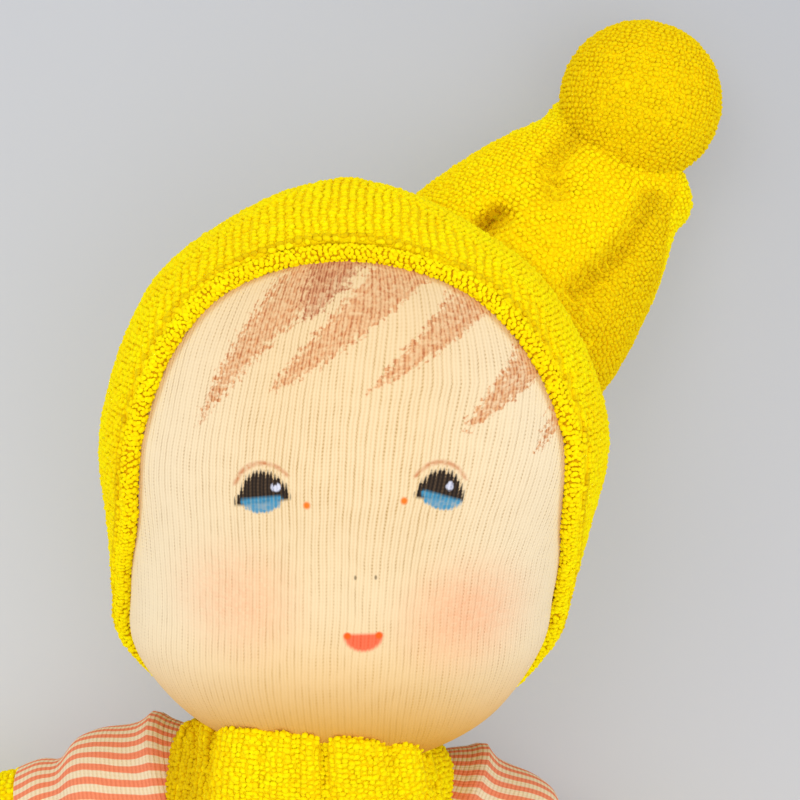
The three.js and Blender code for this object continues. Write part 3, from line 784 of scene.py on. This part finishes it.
def nap(name, form, places, body, blend=None, keep=everywhere, size=1.0, lean=0.25, shadow=lit):
    """Terry loops on a form at the given arcs and angles, wherever keep says that the cloth is bare."""
    arcs, angles = places
    step = 0.05
    here = form.at(arcs, angles)
    along = form.at(arcs + step, angles) - form.at(arcs - step, angles)
    across = form.at(arcs, angles + step / 10) - form.at(arcs, angles - step / 10)
    normal = np.cross(across, along)
    length = np.linalg.norm(normal, axis=1)
    good = (length > 1e-7) & (here[:, 2] > FLOOR_GAP + 0.4)
    normal[good] /= length[good, None]
    good[good] &= keep(here[good], normal[good])
    here, normal, across = here[good], normal[good], across[good]
    count = len(here)
    normal = unit(normal + rng.normal(0, lean, (count, 3)))
    turn = rng.normal(0.3, 0.7, count)[:, None]
    side = unit(across)
    side = side * np.cos(turn) + np.cross(normal, side) * np.sin(turn)
    side = unit(side - normal * np.sum(side * normal, axis=1)[:, None])
    bases = np.stack([side, np.cross(normal, side), normal], -1) * rng.uniform(0.8, 1.2, (count, 1, 3))
    loops = copies(name, here, bases, size * rng.uniform(0.85, 1.2, count), shadow(here))
    return attach(loops, body, blend)


# Head and hood

CHEEK = 43
TEMPLE = 47


def head_stations(grow):
    return [
        (0, -60 - grow), (14 + grow, -58.6 - grow), (CHEEK - 16.5 + grow, -53), (CHEEK - 8.2 + grow, -46),
        (CHEEK - 1.6 + grow, -35.5), (CHEEK - 0.4 + grow, -25), (CHEEK + 1.6 + grow, -12), (TEMPLE + grow, 2),
        (TEMPLE - 1.2 + grow, 13), (TEMPLE - 6.3 + grow, 27), (TEMPLE - 15.4 + grow, 39 + grow * 0.3),
        (14 + grow / 2, 49 + grow), (0, 53.6 + grow),
    ]


def sway(y):
    """How far the head's stuffing leans to one side at a height over its middle."""
    return bump(y, 10, 20) - 2.3 * bump(y, -38, 20) - 0.8 * bump(y, 50, 14)


def swayed(points):
    x, y, z = points.T
    return np.stack([x + sway(y), y, z], -1)


HEAD_AXES = np.array(HEAD)[:3, :3]
HEAD_MIDDLE = np.array(HEAD.translation)


def on_head(points):
    """Points of the table's frame in the head's own."""
    return (points - HEAD_MIDDLE) @ HEAD_AXES


def from_head(points):
    """Points of the head's frame in the table's."""
    return points @ HEAD_AXES.T + HEAD_MIDDLE


def off_axis(local):
    """How far points of the head's frame lie from its swayed axis."""
    return np.hypot(local[:, 0] - sway(local[:, 1]), local[:, 2])


def over_form(points, form):
    """How far points of the table's frame lie outside a form of the head, across its axis."""
    local = on_head(points)
    order = np.argsort(form.profile[:, 1])
    skin = np.interp(local[:, 1], form.profile[order, 1], form.profile[order, 0], left=0, right=0)
    return off_axis(local) - skin


def behind_rim(points):
    """How far points of the table's frame lie behind the hood's rim."""
    local = on_head(points)
    return (soft_rim(local[:, 1]) - local[:, 2]) * math.cos(math.radians(RIM_LEAN))


head_form = Form(head_stations(0), HEAD, swayed, count=90)
attach(cover("head_skin_painted", head_form, 128, FACE), "head",
       replaces=("head_skin", "head_core", "eye_line_thread"))

hood_form = Form(head_stations(3.9 - PILE), HEAD, swayed, count=90)
bm = hood_form.spun(144)
set_back = HEM_WIDTH / 2 + 0.1
for (low, back), (high, ahead) in zip(RIM, RIM[1:]):
    whole = bm.verts[:] + bm.edges[:] + bm.faces[:]
    bmesh.ops.bisect_plane(bm, geom=whole, plane_co=(0, low, back - set_back),
                           plane_no=(0, back - ahead, high - low))
whole = bm.verts[:] + bm.edges[:] + bm.faces[:]
bmesh.ops.bisect_plane(bm, geom=whole, plane_co=(0, NAPE, 0), plane_no=(0, -1, 0), clear_outer=True)
middles = [(cell, cell.calc_center_median()) for cell in bm.faces]
front = [cell for cell, middle in middles if middle.z > rim(middle.y) - set_back]
bmesh.ops.delete(bm, geom=front, context="FACES")
hood = new_object("hood_terry", hood_form.finish("hood_terry", bm), YELLOW_GROUND)
attach(walled(hood, HOOD_WALL), "head", replaces=("hood",))


def hood_bare(points, normals):
    return (behind_rim(points) > 1.1) & (on_head(points)[:, 1] > NAPE + 0.4)


def hem_groove_painted_shade(points):
    """Painted shade on the loops in a band along the rim, standing in for the groove of the hem's seam."""
    return 0.42 * bump(behind_rim(points), 2.0, 0.6)


arcs, angles = hood_form.rows(1.05, 1.15, rib=1.7)
for side, half in (("left", angles > 0), ("right", angles <= 0)):
    nap(f"hood_loops_{side}", hood_form, (arcs[half], angles[half]), "head", keep=hood_bare, shadow=hem_groove_painted_shade)


class Hem:
    """The hood's rolled hem: a tube along its rim, on the head's surface."""

    radius = 1.45

    def __init__(self, count=420):
        profile = head_form.profile
        rising = profile[: np.argmax(profile[:, 1])]
        y = np.linspace(NAPE + 1, 53, 6000)
        skin = np.interp(y, rising[:, 1], rising[:, 0]) + self.radius * 0.9
        front = soft_rim(y) - self.radius
        held = skin > np.abs(front)
        last = np.argmax(~held) if (~held).any() else len(y)
        y, skin, front = y[:last], skin[:last], front[:last]
        across = np.sqrt(skin ** 2 - front ** 2)
        right = np.stack([across, y, front], -1)
        path = np.vstack([right, right[::-1] * (-1, 1, 1)])
        steps = np.linalg.norm(np.diff(path, axis=0), axis=1)
        arc = np.concatenate([[0], steps.cumsum()])
        self.length = arc[-1]
        self.arc = np.linspace(0, self.length, count)
        self.path = follow(self.arc, arc, path)
        out = self.path * (1, 0, 1)
        ahead = unit(np.gradient(self.path, axis=0))
        self.out = unit(out - ahead * np.sum(out * ahead, axis=1)[:, None])
        self.back = np.cross(ahead, self.out)
        self.path = swayed(self.path)

    def at(self, arc, angle):
        """A point of the tube: the angle turns from its outer side to its back."""
        arc = np.clip(arc, 0, self.length)
        middle, out, back = (follow(arc, self.arc, line) for line in (self.path, self.out, self.back))
        off = out * np.cos(angle)[:, None] + back * np.sin(angle)[:, None]
        points = from_head(middle + self.radius * off)
        points[:, 2] = np.maximum(points[:, 2], FLOOR_GAP)
        return points

    def tube(self, name):
        curve = bpy.data.curves.new(name, "CURVE")
        curve.dimensions = "3D"
        curve.bevel_depth = self.radius * MM
        curve.bevel_resolution = 3
        curve.use_fill_caps = True
        line = curve.splines.new("POLY")
        line.points.add(len(self.path) - 1)
        for point, at in zip(line.points, self.path):
            point.co = (*(HEAD @ Vector(at) * MM), 1)
        made = bpy.data.objects.new(name, curve)
        bpy.context.scene.collection.objects.link(made)
        mesh = worked_out(made)
        bpy.data.objects.remove(made)
        mesh.shade_smooth()
        return mesh


hem_form = Hem()
hem = new_object("hood_hem_roll", hem_form.tube("hood_hem_roll"), HEM_GROUND_PAINTED_SHADE)
attach(hem, "head", replaces=("hood_hem",))


def round_hem(degrees, pitch):
    """Rows of loops along the hem, at angles of its tube."""
    arcs = np.arange(0.4, hem_form.length, pitch)
    at = np.concatenate([arcs + rng.uniform(0, pitch) for _ in degrees])
    angles = np.repeat(np.radians(degrees), len(arcs))
    return at + rng.normal(0, 0.1 * pitch, len(at)), angles + rng.normal(0, 0.08, len(at))


nap("hood_hem_loops", hem_form, round_hem((78, 52, 26, 0, -26, -52, -76), 1.02), "head", size=0.86)
nap("hood_hem_edge_loops", hem_form, round_hem((-104, -132), 1.32), "head", lean=0.15)


# Neck: tricot tied off under the head

NECK_PROFILE = [(0, -9), (5, -7.8), (8.8, -1), (8.2, 4), (7.2, 6.4), (7.4, 9), (7.4, 20), (0, 21.5)]
neck_form = Form(NECK_PROFILE, NECK, count=40)
attach(cover("neck_tricot", neck_form, 40, SKIN), "neck", replaces=("neck_core",))

THREAD_SIDES = 32


def tie(name, matrix, radius, along, turns=3, yarn=0.5):
    """Thread wound a few times round a gather."""
    bm = bmesh.new()
    bmesh.ops.create_circle(bm, cap_ends=True, segments=8, radius=yarn,
                            matrix=Matrix.Translation((radius, along - turns * yarn * 0.8, 0)))
    bmesh.ops.spin(bm, geom=bm.verts[:] + bm.edges[:] + bm.faces[:], cent=(0, 0, 0), axis=(0, 1, 0),
                   dvec=(0, yarn * 1.6 / THREAD_SIDES, 0), angle=2 * math.pi * turns,
                   steps=turns * THREAD_SIDES)
    bmesh.ops.recalc_face_normals(bm, faces=bm.faces[:])
    mesh = mesh_of(bm, name)
    mesh.transform(Matrix.Scale(MM, 4) @ matrix)
    return new_object(name, mesh, THREAD)


attach(tie("neck_tie", NECK, radius=8.1, along=6.6), "neck", replaces=("neck_thread",))


# Cap's tail and ball

# The valleys of the tail's folds, seen from above: their courses, half widths and depths
VALLEYS = (
    (((43.3, 185.5), (36.9, 177.7), (38.4, 171.5)), 2.9, 3.6),
    (((59.0, 172.0), (53.9, 161.7), (43.9, 151.0)), 3.4, 4.4),
    (((24.6, 162.6), (27.0, 165.2)), 2.3, 8.0),
)
# A place on the long fold, and the way to the side beyond it that gets painted shade
LONG_FOLD = np.array(VALLEYS[1][0][0])
BEYOND_FOLD = np.array((0.81, -0.58))


def in_valleys(points):
    """How deep in its folds each point of the tail lies, in millimetres."""
    deepest = np.zeros(len(points))
    for course, width, depth in VALLEYS:
        for start, end in zip(course, course[1:]):
            start, way = np.array(start), np.subtract(end, start)
            off = points[:, :2] - start
            share = np.clip(off @ way / (way @ way), 0, 1)
            away = np.linalg.norm(off - share[:, None] * way, axis=1)
            deepest = np.maximum(deepest, depth * bump(away, 0, width))
    return deepest


def flattened(points):
    return points * (1, 1, 0.78)


def tail_folds(points):
    """The empty sock lies pressed flat, with the valleys of its folds on its upper side."""
    sunk = in_valleys(points) * smoothstep(22, 36, points[:, 2])
    return points - sunk[:, None] * (0, 0, 1)


tail_form = Form([(0, -24), (28, -23.5), (28, -12), (27.5, 0), (23.2, 18.5), (18.4, 31.0), (17.8, 37.6),
                  (13, 40.6), (0, 41.6)], TAIL, flattened, tail_folds, count=60)
tail_bend = bend_at("tail", TAIL, -8, 8)
attach(cover("cap_tail_terry", tail_form, 112, YELLOW_GROUND), "head", tail_bend,
       replaces=("cap_tail",))


def clear_of_hood(points, normals):
    return over_form(points, hood_form) > -0.5


def fold_shadow(points):
    """Painted shade on the loops: on the folds, on the tail's side beyond its long fold and on the cloth near
    the hood.
    """
    folds = np.clip(in_valleys(points) / 9, 0, 0.75)
    beyond = (points[:, :2] - LONG_FOLD) @ BEYOND_FOLD
    hooded = 0.2 * smoothstep(5, 1, over_form(points, hood_form))
    return np.maximum(folds, 0.05 + 0.19 * smoothstep(-3, 4, beyond) + hooded) * (points[:, 2] > 20)


nap("cap_tail_loops", tail_form, tail_form.rows(1.15, 1.35), "head", tail_bend, keep=clear_of_hood, size=0.92,
    shadow=fold_shadow)


PLEATS = 14


def gathered(points):
    """Pleats that run in to the ball's mouth."""
    x, y, z = points.T
    return puffed(points, np.cos(np.arctan2(x, z) * PLEATS) * smoothstep(-8, -17, y) * 0.5)


half_turn = np.radians(np.linspace(-90, 90, 9))
BALL_GROUND = BALL_RADIUS - PILE
half_round = [(BALL_GROUND * math.cos(a), BALL_GROUND * math.sin(a)) for a in half_turn]
bobble_form = Form(half_round, BOBBLE, gathered)
attach(cover("bobble_terry", bobble_form, 84, YELLOW_GROUND), "bobble",
       replaces=("bobble_cover", "bobble_stuffing"))


def ball_shade(points):
    """Painted shade over the whole ball, which hangs a little lower than the hood's crown, in duller light.
    """
    return np.full(len(points), 0.2)


nap("bobble_loops", bobble_form, bobble_form.rows(1.1, 1.25), "bobble", size=0.92, shadow=ball_shade)
attach(tie("bobble_tie", BOBBLE, radius=7.6, along=-13.0), "bobble", replaces=("bobble_thread",))


# Body


def off_head(points):
    """The collar gives way under the head, which rests in it."""
    local = on_head(points)
    profile = head_form.profile[: np.argmax(head_form.profile[:, 1] > -25)]
    under = np.interp(off_axis(local), profile[:, 0], profile[:, 1], right=1e3) - 0.9
    local[:, 1] = np.minimum(local[:, 1], under)
    return from_head(local)


def pressed_body(points):
    """The body lies pressed flatter at its seat than at its chest."""
    x, y, z = points.T
    return np.stack([x, y, z * (0.88 + 0.18 * (y + 60) / 119)], -1)


def body_stations(grow):
    return [
        (0, -60 - grow), (15.25 + grow, -58.2 - grow), (27.5 + grow, -50), (33.5 + grow, -36),
        (34.5 + grow, -18), (32.5 + grow, 6), (31.3 + grow, 30), (30.5 + grow, 46), (27 + grow, 55),
        (15.25 + grow, 58.5 + grow), (0, 59 + grow),
    ]


body_form = Form(body_stations(-PILE), TORSO, pressed_body, off_head, count=80)
attach(cover("body_terry", body_form, 112, YELLOW_GROUND), "torso",
       replaces=("torso_cover", "torso_stuffing"))


# The height over the table from which the body's cloth faces up
CHEST_FROM = 26
# The pitch of the loops, along and round, where the photo doesn't look
FAR_PITCH = (1.5, 1.8)


def clear_of_limbs(points):
    clear = np.ones(len(points), bool)
    for limbs, reach in ((ARMS, 20.6), (LEGS, 16.4)):
        for limb in limbs.values():
            clear &= np.linalg.norm(points - np.array(limb.translation), axis=1) > reach
    return clear


def chest(points, normals):
    return (points[:, 2] > CHEST_FROM) & clear_of_limbs(points)


def back(points, normals):
    return (points[:, 2] <= CHEST_FROM) & clear_of_limbs(points)


class Collar:
    """The chest's upper edge, gathered on its drawstring and drawn up over the chin. It is laid out
    by the height up the strip, in millimetres, and by the share of its half width."""

    foot = 41
    half_width = 28.5
    rise = 21
    roll = 1.0
    columns = 160
    bulge = 34
    top = 59.3
    off_face = 2.6
    gathers = ((-27.5, 1.6), (-19.5, 1.3), (-8.0, 0.6), (-1.0, 0.8), (4.6, 1.9), (18.6, 0.9), (27.5, 2.6))

    def __init__(self):
        self.across = np.linspace(-self.half_width, self.half_width, self.columns)
        profile = body_form.profile[: np.argmax(body_form.profile[:, 1])]
        radius = np.interp(self.foot, profile[:, 1], profile[:, 0])
        deep = np.sqrt(np.maximum(radius ** 2 - self.across ** 2, 25))
        low = pressed_body(np.stack([self.across, np.full(self.columns, self.foot), deep], -1))
        self.low = low + np.array(TORSO.translation) - (0, 0, 0.4)
        edge = self.top - 0.0026 * (self.across - 5) ** 2
        for at, depth in self.gathers:
            edge = edge - depth * bump(self.across, at, 1.9)
        self.high = np.stack([self.across * 0.92 - 1.5, edge, np.full(self.columns, 74.0)], -1)
        # The upper edge settles where it stands off the face
        for _ in range(30):
            self.high[:, 2] += 0.7 * (self.off_face - over_form(self.high, head_form))
            self.high[:, 2] = np.clip(self.high[:, 2], 50, 80)

    def at(self, arc, angle):
        across = angle * self.half_width
        low, high = (follow(across, self.across, line) for line in (self.low, self.high))
        share = np.clip(arc / self.rise, 0, 1)[:, None]
        along = unit(high - low)
        side = np.stack([np.full(len(arc), 2.0), np.zeros(len(arc)), -2 * across / self.bulge], -1)
        out = unit(np.cross(side, along))
        swell = 1.7 * np.sin(math.pi * share ** 0.8)
        for at, depth in self.gathers:
            swell = swell - 1.15 * depth * (0.25 + 0.75 * share) * bump(across, at, 1.7)[:, None]
        swell = swell - 2.8 * smoothstep(-16, -24, across)[:, None] * np.sin(math.pi * np.minimum(share, 0.9))
        turn = (np.maximum(arc - self.rise, 0) / self.roll)[:, None]
        points = low + (high - low) * share + out * swell
        points += along * self.roll * np.sin(turn) - out * self.roll * (1 - np.cos(turn))
        return points


collar_form = Collar()
bm = bmesh.new()
bmesh.ops.create_grid(bm, x_segments=150, y_segments=30, size=1)
mesh = mesh_of(bm, "collar_terry")
flat = np.array([v.co for v in mesh.vertices])
collar_length = collar_form.rise + 2.6 * collar_form.roll
grown = collar_form.at((flat[:, 1] + 1) / 2 * collar_length, flat[:, 0])
mesh.vertices.foreach_set("co", (grown * MM).ravel())
collar = new_object("collar_terry", mesh, YELLOW_GROUND)
collar_bend = ("neck", (0, 48, 60), (0, 58, 66))
attach(walled(collar, 0.9), "torso", collar_bend)
arcs, angles = np.meshgrid(np.arange(0.3, collar_length, 1.05),
                           np.arange(-0.995, 1, 1.2 / collar_form.half_width))
arcs = arcs.ravel() + rng.normal(0, 0.15, arcs.size)
angles = angles.ravel() + rng.normal(0, 0.006, angles.size)


def flank_shadow(points):
    """Painted shade on the loops where the chest falls away beside the right arm."""
    edge = smoothstep(-15, -23, points[:, 0]) * smoothstep(22, 40, points[:, 1])
    return 0.45 * edge * (points[:, 2] > CHEST_FROM)


nap("collar_loops", collar_form, (arcs, angles), "torso", collar_bend, lean=0.3, shadow=flank_shadow)
nap("chest_loops", body_form, body_form.rows(1.05, 1.25, rib=1.4), "torso", keep=chest, lean=0.35,
    shadow=flank_shadow)
nap("back_loops", body_form, body_form.rows(*FAR_PITCH), "torso", keep=back, size=1.35)


# Arms


def sleeve_folds(side):
    """The jersey steps in half way down the sleeve, where it is eased on to the arm."""

    def shape(points):
        x, y, z = points.T
        crown = smoothstep(-6, 12, -side * x)
        turn = side * (0.12 * smoothstep(15, 24, y) - 0.3 * smoothstep(-10, 16, y))
        x, z = x * np.cos(turn) + z * np.sin(turn), z * np.cos(turn) - x * np.sin(turn)
        drawn = 1.6 * bump(y, -6.8, 1.9) - 1.1 * bump(y, -0.5, 4.5) - 2.8 * bump(y, 15.3, 3.4)
        drawn -= 1.0 * smoothstep(16, 22, y)
        return puffed(np.stack([x, y, z], -1), drawn * crown)

    return shape


# How far along the forearm the sleeve ends, and along the leg the body's cover
SLEEVE_END = -12.4
BODY_END = -6
FOOT_LIFT = 98
SLEEVE = [(0, -21), (10.7, -18.2), (18.2, -10.5), (21, -1), (20.6, 8), (19.4, 16), (18.5, 23), (17.8, 23.9),
          (14, 24), (0, 24)]
FOREARM = [(0, -16), (14, -15.5), (16.3, -13), (16.5, -4), (16.3, 8), (16.1, 18), (14.4, 30), (11.4, 37),
           (9, 39.8), (7.6, 40.4), (0, 40.4)]
HAND = [(0, 33), (6.6, 34), (7, 38), (7, 41.3), (9.4, 43.6), (12, 48), (12.6, 52.5), (11.4, 57.5), (7.5, 62),
        (0, 64)]

for name, arm in ARMS.items():
    side = 1 if name == "left" else -1
    fore = arm @ Matrix.Translation((0, ELBOW, 0))
    form = Form(SLEEVE, arm, sleeve_folds(side), count=60)
    bend = bend_at(f"arm_{name}", arm, -12, 10)
    attach(cover(f"sleeve_jersey_{name}", form, 96, STRIPES), "torso", bend,
           replaces=(f"sleeve_{name}", f"upper_arm_stuffing_{name}"))
    form = Form(FOREARM, fore, count=60)
    bend = bend_at(f"forearm_{name}", fore, -11, 9)
    attach(cover(f"forearm_terry_{name}", form, 80, YELLOW_GROUND), f"arm_{name}", bend,
           replaces=(f"forearm_cover_{name}", f"forearm_stuffing_{name}"))
    arcs, angles = form.rows(1.45, 1.75)
    bare = arcs > form.arc_at(SLEEVE_END)
    nap(f"forearm_loops_{name}", form, (arcs[bare], angles[bare]), f"arm_{name}", bend, size=1.08)
    form = Form(HAND, fore, count=40)
    attach(cover(f"hand_tricot_{name}", form, 56, SKIN), f"forearm_{name}",
           replaces=(f"hand_{name}",))
    attach(tie(f"wrist_tie_{name}", fore, radius=7.9, along=41.2), f"forearm_{name}",
           replaces=(f"wrist_thread_{name}",))


# Legs

LEG = [(0, -16.2), (8, -14.2), (13.6, -9), (16.2, 0), (16.6, 14), (17, 30), (15.8, 50), (13, 66), (12.3, 72),
       (12.9, 78), (11, 84), (0, 86)]
FOOT = [(0, -17.2 + PILE), (11, -14.5), (14, -3.9), (12.6, 7.2), (7.6, 16.6), (0, 19.8 - PILE)]

for name, leg in LEGS.items():
    form = Form(LEG, leg, count=60)
    bend = bend_at(f"leg_{name}", leg, -8, 12)
    attach(cover(f"leg_terry_{name}", form, 80, YELLOW_GROUND), "torso", bend,
           replaces=(f"leg_cover_{name}", f"leg_stuffing_{name}"))
    arcs, angles = form.rows(*FAR_PITCH)
    bare = arcs > form.arc_at(BODY_END)
    nap(f"leg_loops_{name}", form, (arcs[bare], angles[bare]), "torso", bend, size=1.1)
    foot_at = leg @ Matrix.Translation((0, ANKLE, 0)) @ Matrix.Rotation(math.radians(FOOT_LIFT), 4, "X")
    form = Form(FOOT, foot_at, count=40)
    attach(cover(f"foot_terry_{name}", form, 64, YELLOW_GROUND), f"leg_{name}",
           replaces=(f"foot_{name}",))
    nap(f"foot_loops_{name}", form, form.rows(*FAR_PITCH), f"leg_{name}", size=1.1)
    attach(tie(f"ankle_tie_{name}", leg, radius=13.2, along=72), f"leg_{name}",
           replaces=(f"ankle_thread_{name}",))


# Stage, light and camera

FLOOR_METRES = 4.0
bm = bmesh.new()
bmesh.ops.create_grid(bm, x_segments=1, y_segments=1, size=FLOOR_METRES)
paper, add = new_material("matt_backdrop_paper")
place_in = add("TexCoord")
across = add("SeparateXYZ", (place_in.outputs["Object"],)).outputs
# The paper is a little darker towards the photo's top and its right
# This darkening is painted shade, where light falls off across the paper
fade = add("MapRange", (across[1], 0.02, 0.22, 0.0, 1.0))
turn = add("MapRange", (across[0], -0.06, 0.09, 0.0, 1.0))
lit_side = add("Mix RGBA", (fade, "#d5d6d6", "#c6c8cc"))
far_side = add("Mix RGBA", (fade, "#cdcdcf", "#bec0c4"))
tone = add("Mix RGBA", (turn, lit_side, far_side))
# Half of what the camera sees of the paper is its own colour, which evens out the light on it
seen = add("LightPath").outputs["Is Camera Ray"]
shared = add("Math MULTIPLY", (seen, 0.5))
paper_base = add("Mix RGBA", (shared, tone, (0, 0, 0, 1)))
surface(add, paper_base, Emission_Color=tone, Emission_Strength=shared)
new_object("floor", mesh_of(bm, "floor"), paper)

world = bpy.data.worlds.new("soft_room")
bpy.context.scene.world = world
world.use_nodes = True
world.node_tree.nodes["Background"].inputs["Color"].default_value = colour("#fbfbff")
world.node_tree.nodes["Background"].inputs["Strength"].default_value = 0.94


# Where both lamps point: the doll's face. Lamps are placed in metres.
AIM = (0, 0.1, 0.05)


def softbox(name, at, size, power, tint):
    """A round lamp that lights the doll softly, with its power in watts."""
    light = bpy.data.lights.new(name, "AREA")
    light.shape = "DISK"
    light.size = size
    light.energy = power
    light.color = tint
    made = bpy.data.objects.new(name, light)
    made.location = at
    made.rotation_euler = (Vector(AIM) - Vector(at)).to_track_quat("-Z", "Y").to_euler()
    bpy.context.scene.collection.objects.link(made)


softbox("window", (-0.7, 0.75, 1.7), size=1.1, power=6.5, tint=(1.0, 0.99, 0.97))
softbox("fill", (0.9, -0.2, 1.6), size=1.4, power=5.5, tint=(0.98, 0.98, 1.0))

SENSOR = 36
FOCAL_PIXELS = 3000
PHOTO_PIXELS = 800
CAMERA_HEIGHT = 650
lens = bpy.data.cameras.new("camera")
lens.sensor_width = SENSOR
lens.lens = SENSOR * FOCAL_PIXELS / PHOTO_PIXELS
lens.clip_start = 0.05
camera = bpy.data.objects.new("camera", lens)
over = beside_head(10.03, 12.43)
camera.location = Vector((over.x, over.y, CAMERA_HEIGHT)) * MM
camera.rotation_euler = (0, 0, math.radians(HEAD_TILT))
bpy.context.scene.collection.objects.link(camera)
bpy.context.scene.camera = camera
bpy.context.scene.view_settings.view_transform = "Standard"
